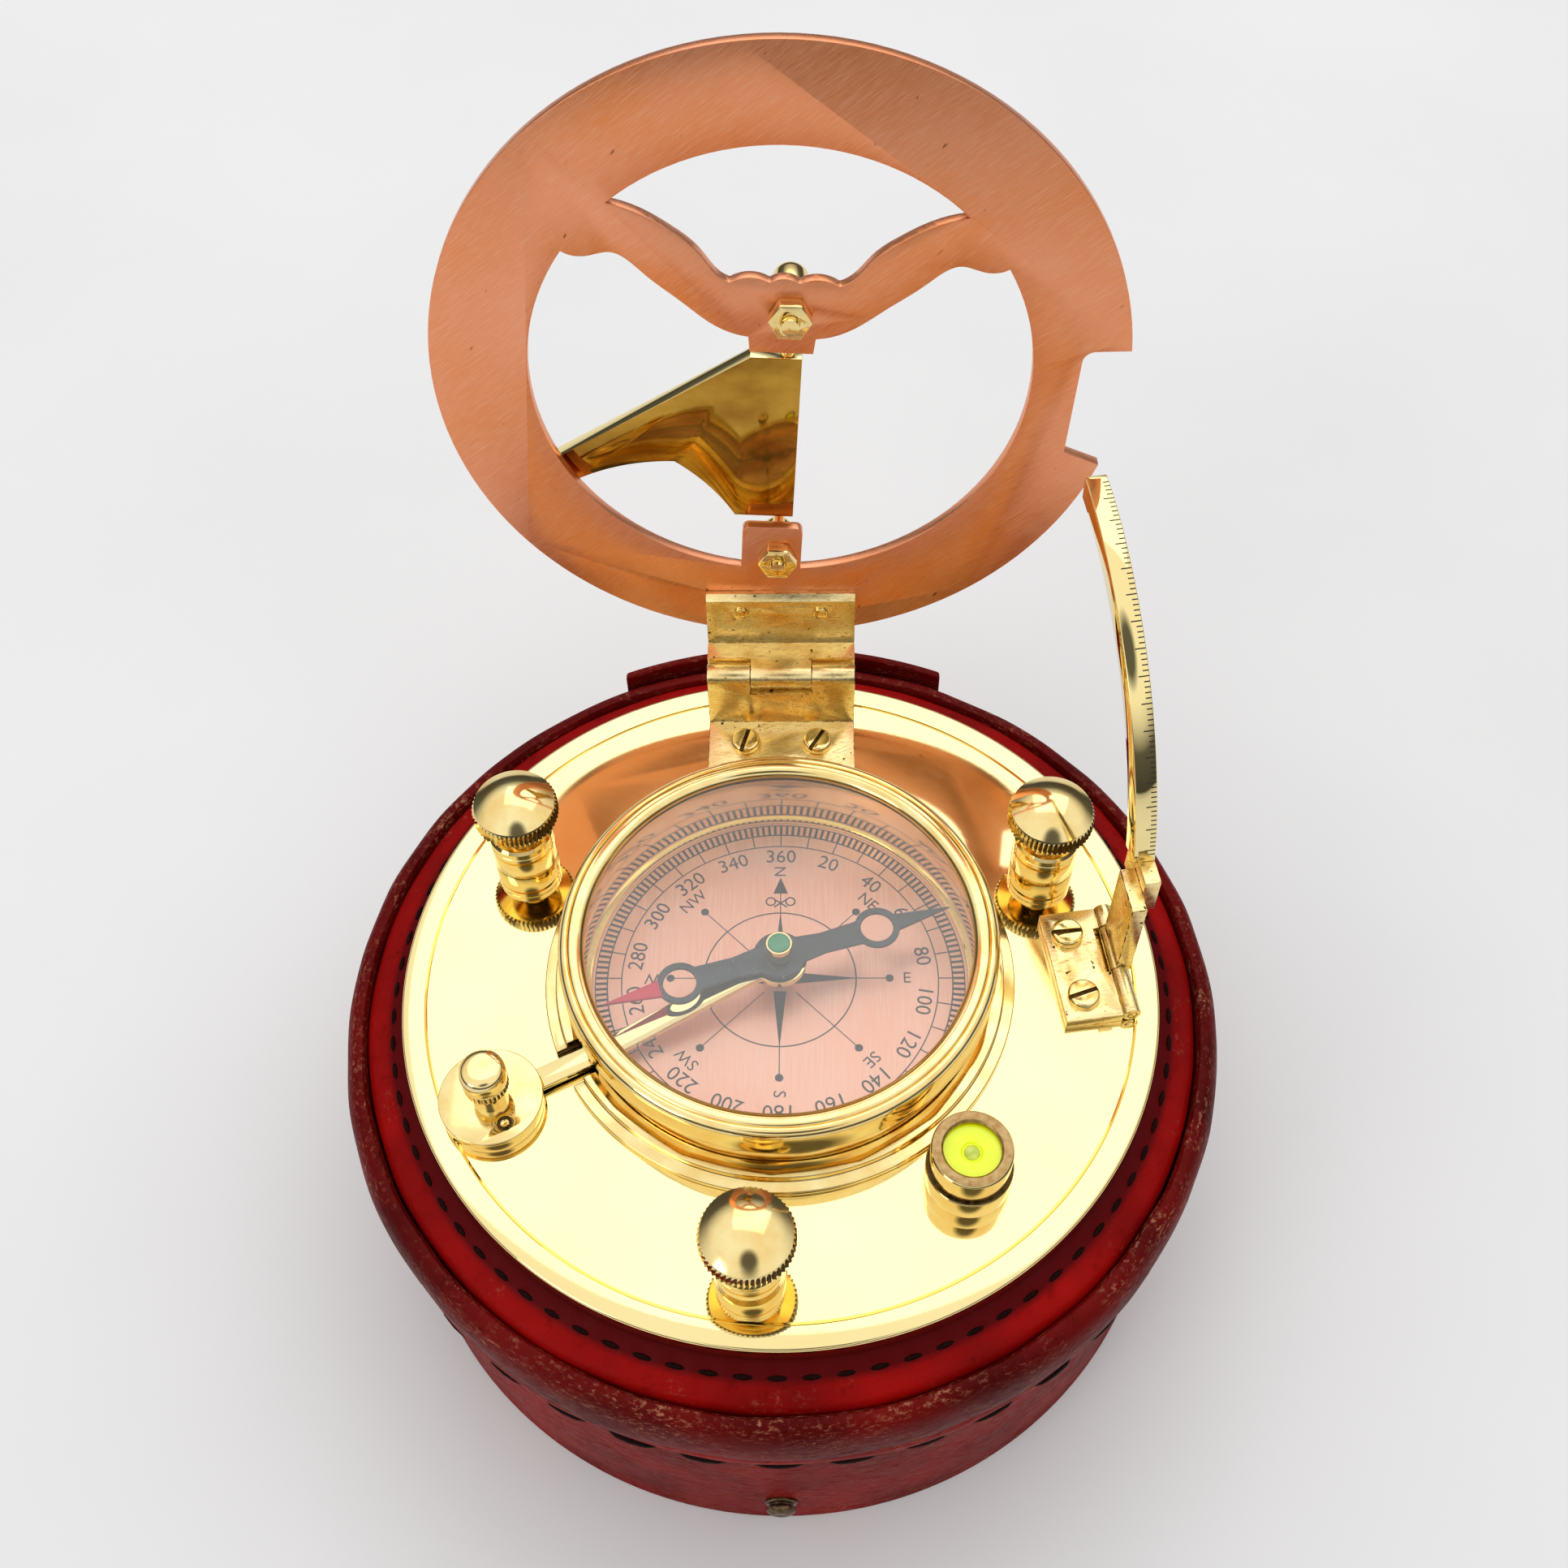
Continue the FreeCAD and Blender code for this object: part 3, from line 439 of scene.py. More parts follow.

# %% [markdown]
# ## Leather, thread and felt
# Leather needs three scales at once: pores under a millimetre, creases a few millimetres long, and
# worn places as big as a thumb. The worn places scrape the dye off, so they also mix in a pale tan,
# though not the grain. The inner collar has had less wear and is brighter, apart from a painted
# shadow: a dark band inside its stitches, where the plate's edge shades it. Thread is nearly black
# and hardly shines, and felt has sheen from its fibres.

# %% Leather finishes
def leather(name, deep, bright, scuff_start, grain=0.10, plate_shadow_within=0):
    recipe = Recipe(name, Specular_IOR_Level=0.06)
    pores = recipe.pebbles(recipe.place(stretch=(1, 1, 1)), 1.7)
    creases = recipe.grain(6, 0.62, stretch=(0.5, 0.5, 1.1))
    dye = recipe.grain(4, stretch=(0.07, 0.07, 0.1))
    rub = recipe.grain(5, 0.65, stretch=(0.10, 0.10, 0.35))
    fleck = recipe.grain(5, 0.7, turn=(0, 0, 20), stretch=(1.1, 1.1, 4.0))
    base = recipe.blend(recipe.curve(dye, 0.3, 0.7), deep, bright)
    lined = recipe.blend(recipe.curve(creases, 0.58, 0.75, 0, 0.6), base, tuple(c * 0.35 for c in deep))
    worn = recipe.times(recipe.curve(rub, scuff_start - 0.12, scuff_start + 0.1), recipe.curve(fleck, 0.53, 0.66))
    colour = recipe.blend(worn, lined, (0.40, 0.15, 0.085))
    if plate_shadow_within:
        # Painted shadow: inside this radius the collar is darkened, as the plate's edge shades it.
        apart = recipe.nodes.new("ShaderNodeSeparateXYZ")
        recipe.links.new(recipe.rings((0, 0, 0)), apart.inputs[0])
        colour = recipe.blend(recipe.curve(apart.outputs[0], plate_shadow_within, plate_shadow_within + 0.9, 1, 0), colour,
                              (0.10, 0.001, 0.002))
    recipe.colour(colour)
    recipe.rough(recipe.curve(creases, 0.3, 0.7, 0.36, 0.62))
    recipe.relief(recipe.plus(recipe.times(pores, 0.6), creases), grain)
    return recipe.material


def thread():
    recipe = Recipe("waxed_thread", Roughness=0.6, Specular_IOR_Level=0.05)
    twist = recipe.grain(2, turn=(0, 0, 30), stretch=(5, 5, 9))
    recipe.colour(recipe.blend(recipe.curve(twist, 0.35, 0.65), (0.004, 0.001, 0.001), (0.018, 0.004, 0.003)))
    recipe.relief(twist, 0.05)
    return recipe.material


def felt():
    recipe = Recipe("red_felt", Roughness=0.95, Sheen_Weight=0.6)
    fibre = recipe.grain(6, 0.7, stretch=(2.5, 2.5, 2.5))
    recipe.colour(recipe.blend(recipe.curve(fibre, 0.3, 0.7), (0.09, 0.008, 0.01), (0.2, 0.02, 0.02)))
    recipe.relief(fibre, 0.2)
    return recipe.material


WALL_LEATHER = leather("wall_leather", (0.14, 0.004, 0.003), (0.31, 0.012, 0.009), 0.60, 0.2)
RIM_LEATHER = leather("rim_leather", (0.07, 0.001, 0.001), (0.17, 0.004, 0.003), 0.54)
COLLAR_LEATHER = leather("collar_leather", (0.18, 0.001, 0.001), (0.37, 0.003, 0.002), 0.68, 0.07, 51.9)
THREAD = thread()
FELT = felt()

# %% [markdown]
# ## Steel, enamel, liquid, glass and ink
# The needle is blued steel, matt with a few bright scratches, and one tip is painted red. The level
# holds a yellow-green liquid that seems to glow, so its shader has a trace of its own light. The window
# is nearly clear: a low alpha lets light reach the card without the noise that refraction would bring.

# %% Small finishes
def needle_steel():
    recipe = Recipe("blued_steel", Metallic=0.55)
    grain = recipe.grain(5, 0.65, stretch=(1.2, 1.2, 1.2))
    chips = recipe.grain(3, turn=(0, 0, 50), stretch=(0.9, 3.2, 1))
    black = recipe.blend(recipe.curve(grain, 0.3, 0.7), (0.035, 0.042, 0.045), (0.075, 0.085, 0.09))
    worn = recipe.blend(recipe.curve(chips, 0.70, 0.75), black, (0.40, 0.41, 0.40))
    along = recipe.nodes.new("ShaderNodeSeparateXYZ")
    recipe.links.new(recipe.place(turn=(0, 0, -NEEDLE_ANGLE)), along.inputs[0])
    tip = recipe.curve(along.outputs[0], -16.3, -16.0, 1, 0)
    recipe.colour(recipe.blend(tip, worn, (0.62, 0.03, 0.06)))
    recipe.rough(recipe.curve(grain, 0.3, 0.7, 0.32, 0.5))
    recipe.relief(grain, 0.02)
    return recipe.material


def plain(name, dark, light, scale, roughness, depth, **constants):
    """A finish of one tone with a little mottling."""
    recipe = Recipe(name, Roughness=roughness, **constants)
    mottle = recipe.grain(4, stretch=(scale,) * 3)
    recipe.colour(recipe.blend(recipe.curve(mottle, 0.3, 0.7), dark, light))
    recipe.relief(mottle, depth)
    return recipe.material


NEEDLE_ANGLE = 18.0
NEEDLE_STEEL = needle_steel()
BRIGHT_STEEL = plain("bright_steel", (0.50, 0.50, 0.48), (0.68, 0.67, 0.64), 2.0, 0.25, 0.01, Metallic=1.0)
ENAMEL = plain("green_enamel", (0.01, 0.22, 0.09), (0.04, 0.42, 0.18), 3.0, 0.35, 0.05, Coat_Weight=0.3)
LIQUID = plain("level_liquid", (0.70, 0.82, 0.0), (0.82, 0.92, 0.0), 0.4, 0.12, 0.001, Coat_Weight=0.25,
               Emission_Color=(0.80, 0.92, 0.0, 1), Emission_Strength=0.22)
BUBBLE = plain("level_bubble_skin", (0.45, 0.55, 0.0), (0.85, 0.95, 0.15), 1.0, 0.06, 0.001, Coat_Weight=0.6)
INK = plain("card_ink", (0.010, 0.008, 0.008), (0.03, 0.02, 0.02), 2.0, 0.55, 0.003)
GLASS = plain("window_glass", (0.90, 0.95, 0.94), (1.0, 1.0, 1.0), 0.05, 0.02, 0.0005, Alpha=0.10,
              Specular_IOR_Level=0.8)
STUD_METAL = plain("antique_stud", (0.04, 0.025, 0.015), (0.26, 0.17, 0.09), 1.1, 0.3, 0.03, Metallic=1.0)

# %% [markdown]
# ## The leather case
# The real base is a stiff drum wrapped in leather, with a stitched rim band that the lid closed over
# and a bright inner collar that the plate sits on. Each is an outline spun round the middle. Leather is
# never a perfect cylinder, so `soften` moves each point in or out by a smooth noise of a few tenths.

# %% Case sizes and softening
CASE_TOP = heights("case_collar")[1]
RIM_LOW, RIM_HIGH = heights("case_rim_welt")
RIM_OUT = out_to("case_rim_welt")
WALL_OUT = out_to("case_wall")
WALL_IN = out_to("case_floor")
COLLAR_OUT = out_to("case_collar")


def soften(bm, amount, size, floor=0.6):
    """Move points in or out by smooth noise, mostly inwards."""
    for vert in bm.verts:
        if vert.co.z / MM < floor:
            continue
        push = noise.noise(vert.co / (size * MM)) - 0.6
        flat = Vector((vert.co.x, vert.co.y, 0))
        vert.co += flat.normalized() * push * amount * MM


# %% [markdown]
# The wall and the rim are hollow outlines, listed from the bottom outside round to the start. Below the
# rim the wall flares out a little, because the rim's long stitches pull the leather up there.

# %% Case wall and rim
def wall_outline():
    """Down the inside and up the outside, with the flare that carries the rim's stitches."""
    outside = [(WALL_OUT, 0.5 + 2.0 * i) for i in range(15)]
    flare = [(WALL_OUT + 0.2, RIM_LOW - 4.7), (WALL_OUT + 0.9, RIM_LOW - 4.2), (WALL_OUT + 1.7, RIM_LOW - 3.2),
             (WALL_OUT + 2.1, RIM_LOW - 2.0), (WALL_OUT + 2.2, RIM_LOW - 0.8), (WALL_OUT + 2.0, RIM_LOW)]
    top = [(COLLAR_OUT - 0.1, RIM_LOW), (COLLAR_OUT - 0.1, CASE_TOP - 6), (WALL_IN, CASE_TOP - 6), (WALL_IN, 0)]
    return [(WALL_OUT - 0.5, 0), *outside, *flare, *top]


def rim_outline():
    return [(COLLAR_OUT + 0.05, RIM_LOW), (RIM_OUT - 1.6, RIM_LOW), (RIM_OUT - 0.5, RIM_LOW + 0.2),
            (RIM_OUT - 0.1, RIM_LOW + 0.9), (RIM_OUT, RIM_LOW + 2.6), (RIM_OUT, RIM_LOW + 4.6),
            (RIM_OUT - 0.2, RIM_LOW + 6.2), (RIM_OUT - 0.6, RIM_HIGH - 1.3), (RIM_OUT - 1.3, RIM_HIGH - 0.35),
            (RIM_OUT - 2.1, RIM_HIGH), (COLLAR_OUT + 0.6, RIM_HIGH - 0.1), (COLLAR_OUT + 0.15, RIM_HIGH - 0.7)]


wall = lathe(wall_outline(), 192, hollow=True, rounding=0)
soften(wall, 0.35, 14)
finished(wall, "case_wall_leather", WALL_LEATHER, "case", ["case_wall"])
rim = lathe(rim_outline(), 256, hollow=True, rounding=0)
soften(rim, 0.30, 9)
finished(rim, "case_rim_leather", RIM_LEATHER, "case", ["case_rim_welt"])

# %% [markdown]
# The collar is drawn down into small hollows by its stitches. The number of stitches sets the rhythm:
# the height of each point on the stitch circle dips where a stitch sits and rises between two.

# %% Collar with puckers
COLLAR_STITCHES = 80
STITCH_CIRCLE = COLLAR_OUT - 4.0


def collar_outline():
    low = CASE_TOP - 5.9
    inner = COLLAR_OUT - 9.3
    return [(inner, low), (COLLAR_OUT - 0.2, low), (COLLAR_OUT - 0.15, CASE_TOP - 3.4),
            (COLLAR_OUT - 0.5, CASE_TOP - 2.3), (COLLAR_OUT - 1.1, CASE_TOP - 1.75), (COLLAR_OUT - 1.9, CASE_TOP - 1.6),
            (COLLAR_OUT - 2.8, CASE_TOP - 1.2), (COLLAR_OUT - 3.9, CASE_TOP - 0.7), (COLLAR_OUT - 4.8, CASE_TOP - 0.25),
            (COLLAR_OUT - 5.6, CASE_TOP - 0.05), (inner, CASE_TOP)]


collar = lathe(collar_outline(), COLLAR_STITCHES * 6, hollow=True, rounding=0)
soften(collar, 0.15, 8)
for vert in collar.verts:
    reach = math.hypot(vert.co.x, vert.co.y) / MM
    if vert.co.z / MM > CASE_TOP - 2.5:
        near = max(0.0, 1 - abs(reach - STITCH_CIRCLE) / 2.2)
        dip = 0.5 + 0.5 * math.cos(COLLAR_STITCHES * math.atan2(vert.co.y, vert.co.x))
        vert.co.z -= near * (0.12 + 0.30 * dip) * MM
finished(collar, "case_collar_leather", COLLAR_LEATHER, "case", ["case_collar"], smooth=60)

# %% [markdown]
# ## Stitches
# A stitch is a short length of waxed thread that goes into the leather at both ends. A stretched
# sphere with few faces is enough, because there are over a hundred. One function lays either row: the
# collar's leans with the slope of the collar, and the rim's with the flare of the wall.

# %% Stitches
RIM_STITCHES = 40


def stitch_row(name, count, radius, height, length, thickness, lean):
    bm = bmesh.new()
    for i in range(count):
        turn = math.tau * i / count
        made = bmesh.ops.create_uvsphere(bm, u_segments=8, v_segments=6, radius=0.5 * MM)["verts"]
        bmesh.ops.scale(bm, vec=(thickness, length, thickness * 0.8), verts=made)
        turned(bm, made, lean, "Y")
        bmesh.ops.translate(bm, vec=(radius * MM, 0, height * MM), verts=made)
        turned(bm, made, turn)
    finished(bm, name, THREAD, "case", smooth=180)


stitch_row("collar_stitches", COLLAR_STITCHES, STITCH_CIRCLE, CASE_TOP - 0.98, 2.6, 0.7, math.radians(25))
stitch_row("rim_stitches", RIM_STITCHES, WALL_OUT + 1.35, RIM_LOW - 3.35, 6.4, 1.7, math.radians(-50))

# %% [markdown]
# ## Strap, floor and pad
# Behind the rim are the remains of the strap that held the lid: a copy of the frame with a wide bevel,
# since cut leather has soft edges. The floor and its pad only show with the instrument lifted out, so
# the frame's own nodes stay and get a finish.

# %% Strap, floor and pad
strap = cad_copy("case_lid_strap", 0.35, segments=3)
finished(strap, "case_strap_leather", RIM_LEATHER, "case", ["case_lid_strap"])
refinish("case_floor", WALL_LEATHER)
refinish("case_floor_pad", FELT)

# %% [markdown]
# ## The press stud
# A stamped cap: a flange on the leather, a groove, then a shallow dome. It is spun upright and laid
# over to face the front.

# %% Press stud
stud = lathe([(0, -0.8), (2.1, -0.8), (2.2, 0.1), (1.95, 0.3), (1.6, 0.35), (1.6, 0.6), (1.95, 0.75), (1.9, 1.2),
              (1.45, 1.55), (0.9, 1.7), (0.45, 1.62), (0, 1.6)], 48, rounding=0.05)
turned(stud, stud.verts, math.radians(90), "X")
stud_place = middle("case_press_stud")
bmesh.ops.translate(stud, vec=(0, -WALL_OUT * MM, stud_place.z * MM), verts=stud.verts)
finished(stud, "press_stud", STUD_METAL, "case", ["case_press_stud"])

# %% [markdown]
# ## The plate
# One spin gives the disc, its rounded rim, the fine engraved circle and the recess for the card.

# %% Plate
PLATE_LOW, PLATE_R = heights("base_plate")[0], out_to("base_plate")
CARD_R, CARD_TOP = out_to("compass_dial"), heights("compass_dial")[1]
CARD_LOW = heights("compass_dial")[0]
GROOVE_R = 46.8
plate = lathe([(0, PLATE_LOW), (PLATE_R, PLATE_LOW), (PLATE_R, PLATE_TOP), (GROOVE_R + 0.22, PLATE_TOP),
               (GROOVE_R, PLATE_TOP - 0.3), (GROOVE_R - 0.22, PLATE_TOP), (CARD_R + 0.02, PLATE_TOP),
               (CARD_R + 0.02, CARD_LOW), (0, CARD_LOW)], 256, rounding=0)
rim_edges = [e for e in plate.edges if all(abs(v.co.xy.length / MM - PLATE_R) < 0.01 for v in e.verts)
             and abs(e.verts[0].co.z - e.verts[1].co.z) < 1e-6]
bmesh.ops.bevel(plate, geom=rim_edges, offset=0.45 * MM, offset_type="OFFSET", segments=4, profile=0.5,
                affect="EDGES", material=-1)
finished(plate, "plate", MIRROR, "instrument", ["base_plate"])

# %% [markdown]
# ## Compass box
# The drum and its stepped foot have a slot for the lock lever, so they are copies of the frame with
# bevelled edges. Little light gets into that slot, so the faces inside it are found by their distance
# from the slot's own line and made dark, as painted shade.

# %% Drum and foot
LEVER_BEARING = math.radians(207.6)
SLOT_LINE = Vector((math.cos(LEVER_BEARING), math.sin(LEVER_BEARING), 0))
SLOT_HALF, SLOT_HIGH = 2.72, PLATE_TOP + 3.6


def darken_slot(bm):
    """The walls of the lever's slot get the dark finish, as painted shade inside the slot."""
    for face in bm.faces:
        spot = face.calc_center_median() / MM
        aside = (spot - SLOT_LINE * spot.dot(SLOT_LINE)).to_2d().length
        if spot.dot(SLOT_LINE) > 0 and aside < SLOT_HALF and spot.z < SLOT_HIGH:
            # painted shade inside the slot
            face.material_index = 1
    return bm


finished(darken_slot(cad_copy("compass_drum", 0.1)), "drum", (COMPASS_BRASS, PAINTED_SHADE), "instrument",
         ["compass_drum"])
finished(darken_slot(cad_copy("compass_flange", 0.18, segments=3)), "drum_foot", (COMPASS_BRASS, PAINTED_SHADE), "instrument",
         ["compass_flange"])

# %% [markdown]
# The bezel has no slot, so it is spun: a rolled rim, a thin groove where the roll meets the face, and a
# lip down to the window. The card, the window and two steel pins are right as the frame has them.

# %% Bezel, card and window
BEZEL_LOW, BEZEL_TOP = heights("compass_bezel")
BEZEL_OUT = out_to("compass_bezel")
GLASS_TOP = heights("compass_glass")[1]
DRUM_OUT = out_to("compass_drum")
bezel = lathe([(DRUM_OUT, BEZEL_LOW), (BEZEL_OUT, BEZEL_LOW), (BEZEL_OUT, BEZEL_TOP - 1.1),
               (BEZEL_OUT - 0.25, BEZEL_TOP - 0.45), (BEZEL_OUT - 0.75, BEZEL_TOP - 0.1),
               (BEZEL_OUT - 1.15, BEZEL_TOP - 0.12), (BEZEL_OUT - 1.25, BEZEL_TOP - 0.4),
               (BEZEL_OUT - 1.38, BEZEL_TOP - 0.1), (BEZEL_OUT - 1.7, BEZEL_TOP), (BEZEL_OUT - 2.6, BEZEL_TOP - 0.05),
               (BEZEL_OUT - 3.2, BEZEL_TOP - 0.4), (BEZEL_OUT - 3.4, BEZEL_TOP - 0.9), (BEZEL_OUT - 3.4, GLASS_TOP),
               (DRUM_OUT, GLASS_TOP)], 192, hollow=True, rounding=0)
finished(bezel, "bezel", COMPASS_BRASS, "instrument", ["compass_bezel"], smooth=50)

for node, finish in (("compass_dial", CARD), ("compass_glass", GLASS), ("needle_pivot", BRIGHT_STEEL),
                     ("lever_pin", BRIGHT_STEEL)):
    refinish(node, finish)

# %% [markdown]
# ## Printing on the compass card
# The print is thin closed shapes lying on the card, so it stays sharp at any distance: rings are spun,
# ticks are narrow boxes, and figures are text turned into a mesh. Numbers stand with their tops
# outwards every twenty degrees, and the rose has four split points and eight pins.

# %% Bars, rings and dots
PRINT_LOW = CARD_TOP * MM
PRINT_DEPTH = 0.02 * MM


def strip(bm, start, end, width, bearing):
    """A bar along a bearing, from one radius to another."""
    made = bmesh.ops.create_cube(bm, size=1.0)["verts"]
    bmesh.ops.scale(bm, vec=(width * MM, (end - start) * MM, PRINT_DEPTH), verts=made)
    bmesh.ops.translate(bm, vec=(0, (start + end) / 2 * MM, PRINT_LOW + PRINT_DEPTH / 2), verts=made)
    turned(bm, made, -math.radians(bearing))


def ring(bm, radius, width, centre=(0, 0)):
    outline = [(radius - width / 2, 0), (radius + width / 2, 0), (radius + width / 2, PRINT_DEPTH / MM),
               (radius - width / 2, PRINT_DEPTH / MM)]
    steps = 144 if radius > 5 else 20
    part = lathe(outline, steps, hollow=True, rounding=0, centre=centre)
    bmesh.ops.translate(part, vec=(0, 0, PRINT_LOW), verts=part.verts)
    merge_into(bm, part)


def raised(bm, face):
    """Pull a flat face up into a thin slab, and give back all of its points."""
    low = list(face.verts)
    made = bmesh.ops.extrude_face_region(bm, geom=[face])["geom"]
    top = [v for v in made if isinstance(v, bmesh.types.BMVert)]
    bmesh.ops.translate(bm, vec=(0, 0, PRINT_DEPTH), verts=top)
    bmesh.ops.recalc_face_normals(bm, faces=list({f for v in low + top for f in v.link_faces}))
    return low + top


def dot(bm, radius, distance, bearing):
    made = bmesh.ops.create_circle(bm, cap_ends=True, segments=20, radius=radius * MM)["verts"]
    whole = raised(bm, made[0].link_faces[0])
    bmesh.ops.translate(bm, vec=(0, distance * MM, PRINT_LOW), verts=whole)
    turned(bm, whole, -math.radians(bearing))


# %% [markdown]
# A point of the rose and the north arrow are both a triangle with a thickness. Text becomes a mesh
# before it is placed, because a piece's object has to stay at the origin.

# %% Points and figures
def triangle(bm, corners, bearing=0):
    face = bm.faces.new([bm.verts.new((x * MM, y * MM, PRINT_LOW)) for x, y in corners])
    turned(bm, raised(bm, face), -math.radians(bearing))


def lettering(text, size, place, turn):
    """Text as a mesh in a bmesh, centred on a place and turned about it."""
    curve = bpy.data.curves.new("lettering", "FONT")
    curve.body = text
    curve.size = size * MM
    curve.extrude = PRINT_DEPTH / 2
    curve.align_x = "CENTER"
    curve.align_y = "CENTER"
    curve.resolution_u = 3
    holder = bpy.data.objects.new("lettering", curve)
    mesh = bpy.data.meshes.new_from_object(holder)
    part = bmesh.new()
    part.from_mesh(mesh)
    bpy.data.objects.remove(holder)
    bpy.data.curves.remove(curve)
    bpy.data.meshes.remove(mesh)
    turned(part, part.verts, turn)
    bmesh.ops.translate(part, vec=place, verts=part.verts)
    return part


def on_bearing(text, size, distance, bearing, extra=0):
    turn = -math.radians(bearing)
    place = Matrix.Rotation(turn, 3, "Z") @ Vector((0, distance * MM, 0))
    place.z = PRINT_LOW + PRINT_DEPTH / 2
    return lettering(text, size, place, turn + math.radians(extra))


# %% [markdown]
# Now the card itself. The outer band has a tick for every second degree, the next one a line for every
# tenth, then come the figures, and inside them the letters and the rose on its pins.

# %% Card print
EDGE_R, TICK_R, LINE_R, ROSE_R = 24.6, 23.0, 21.1, 10.15
FIGURE_R, LETTER_R, PIN_R = 19.3, 16.9, 14.6
print_bm = bmesh.new()
for radius, width in ((EDGE_R, 0.12), (TICK_R, 0.18), (LINE_R, 0.16), (ROSE_R, 0.18)):
    ring(print_bm, radius, width)
for bearing in range(0, 360, 2):
    strip(print_bm, TICK_R, EDGE_R, 0.36, bearing)
for bearing in range(0, 360, 10):
    strip(print_bm, LINE_R, TICK_R, 0.16, bearing)
for bearing in range(0, 360, 20):
    merge_into(print_bm, on_bearing(str(bearing or 360), 2.9, FIGURE_R, bearing))
for bearing, name in zip(range(0, 360, 45), ("N", "NE", "E", "SE", "S", "SW", "W", "NW")):
    main = len(name) == 1
    merge_into(print_bm, on_bearing(name, 2.3, LETTER_R, bearing, 90 if main else 0))
    strip(print_bm, 3.0, PIN_R, 0.13, bearing)
    if bearing:
        dot(print_bm, 0.55, PIN_R, bearing)
    if main:
        triangle(print_bm, ((-0.85, 2.0), (0.85, 2.0), (0, 10.4)), bearing)

# %% [markdown]
# The north pin ends in a solid arrow over a small pair of scrolls, drawn with two rings and two short
# crossing strokes.

# %% North arrow
triangle(print_bm, ((-1.0, 13.3), (1.0, 13.3), (0, 15.9)))
for side in (-1, 1):
    ring(print_bm, 0.62, 0.2, (side * 1.35, 12.0))
    stroke = bmesh.new()
    made = bmesh.ops.create_cube(stroke, size=1.0)["verts"]
    bmesh.ops.scale(stroke, vec=(2.2 * MM, 0.2 * MM, PRINT_DEPTH), verts=made)
    turned(stroke, made, side * 0.62)
    bmesh.ops.translate(stroke, vec=(0, 11.75 * MM, PRINT_LOW + PRINT_DEPTH / 2), verts=made)
    merge_into(print_bm, stroke)
finished(print_bm, "card_print", INK, "instrument", smooth=30)

# %% [markdown]
# ## Needle and cap
# The needle is stamped sheet, so its copy only needs a fine bevel. The cap is a small turned bush with
# an enamel dot.

# %% Needle and cap
finished(cad_copy("compass_needle", 0.06), "needle", NEEDLE_STEEL, "needle", ["compass_needle"])
CAP_LOW, CAP_TOP = heights("needle_cap")
CAP_R = out_to("needle_cap")
cap = lathe([(1.1, CAP_LOW), (CAP_R, CAP_LOW), (CAP_R, CAP_TOP), (CAP_R - 0.28, CAP_TOP),
             (CAP_R - 0.28, CAP_TOP - 0.15), (0, CAP_TOP - 0.15), (0, CAP_TOP - 1.0), (1.1, CAP_TOP - 2.4)],
            64, hollow=True, rounding=0.05)
finished(cap, "needle_cap_bush", COMPASS_BRASS, "needle", ["needle_cap"])
dot_top = lathe([(0, CAP_TOP - 0.1), (CAP_R - 0.3, CAP_TOP - 0.1), (CAP_R - 0.32, CAP_TOP + 0.1),
                 (CAP_R - 0.6, CAP_TOP + 0.2), (0, CAP_TOP + 0.24)], 48, rounding=0)
finished(dot_top, "needle_cap_enamel", ENAMEL, "needle", ["needle_cap_dot"])

# %% [markdown]
# ## The needle lock
# A disc turns under a thumb knob and works a cranked lever that runs in under the needle. Disc and
# lever are bevelled copies of the frame. A knurled rim is pressed between hard wheels, so `serrate`
# presses every other column of points in, and one flank of each tooth is painted dark as shade.

# %% Lock disc, lever and knurling
LOCK = middle("lock_cam")
LOCK_BRASS = turned_brass("lock", (LOCK.x, LOCK.y))
finished(cad_copy("lock_cam", 0.14, segments=3), "lock_disc", LOCK_BRASS, "lock_knob", ["lock_cam"])
finished(cad_copy("lock_lever", 0.1), "lock_lever_bar", MIRROR, "lock_lever", ["lock_lever"])


def serrate(bm, steps, beyond, low, high, depth):
    """Straight knurling: press every other column of a rim in towards the axis."""
    for vert in bm.verts:
        reach = vert.co.xy.length / MM
        column = round(math.atan2(vert.co.y, vert.co.x) / (math.tau / steps))
        if reach > beyond and low < vert.co.z / MM < high and column % 2:
            vert.co.xy *= (reach - depth) / reach
    # Every other column of faces gets the second finish, painted shade between the teeth.
    for face in bm.faces:
        spot = face.calc_center_median()
        column = math.floor(math.atan2(spot.y, spot.x) / (math.tau / steps))
        if spot.xy.length / MM > beyond - depth and low < spot.z / MM < high and column % 2:
            face.material_index = 1


# %% [markdown]
# Under the disc is a low ring on the plate, open where the lever comes out, so it is spun less than a
# full turn. The disc carries one small raised mark with a dark edge that shows how far it is turned.

# %% Lock seat and mark
MARK_X, MARK_Y = LOCK.x + 2.2, LOCK.y - 3.7
seat = bmesh.new()
seat_outline = [(5.0, PLATE_TOP), (6.45, PLATE_TOP), (6.45, PLATE_TOP + 1.85), (5.0, PLATE_TOP + 1.85)]
seat_verts = [seat.verts.new((r * MM, 0, z * MM)) for r, z in seat_outline]
seat_face = seat.faces.new(seat_verts)
LEVER_GAP = math.radians(34)
bmesh.ops.spin(seat, geom=[seat_face, *seat_face.edges, *seat_verts], cent=ORIGIN, axis=(0, 0, 1), dvec=ORIGIN,
               angle=math.tau - LEVER_GAP, steps=80, use_merge=False, use_normal_flip=False, use_duplicate=False)
bmesh.ops.recalc_face_normals(seat, faces=seat.faces)
toward = math.atan2(-LOCK.y, -LOCK.x)
turned(seat, seat.verts, toward + LEVER_GAP / 2)
round_edges(seat, 0.1)
moved(seat, LOCK.x, LOCK.y)
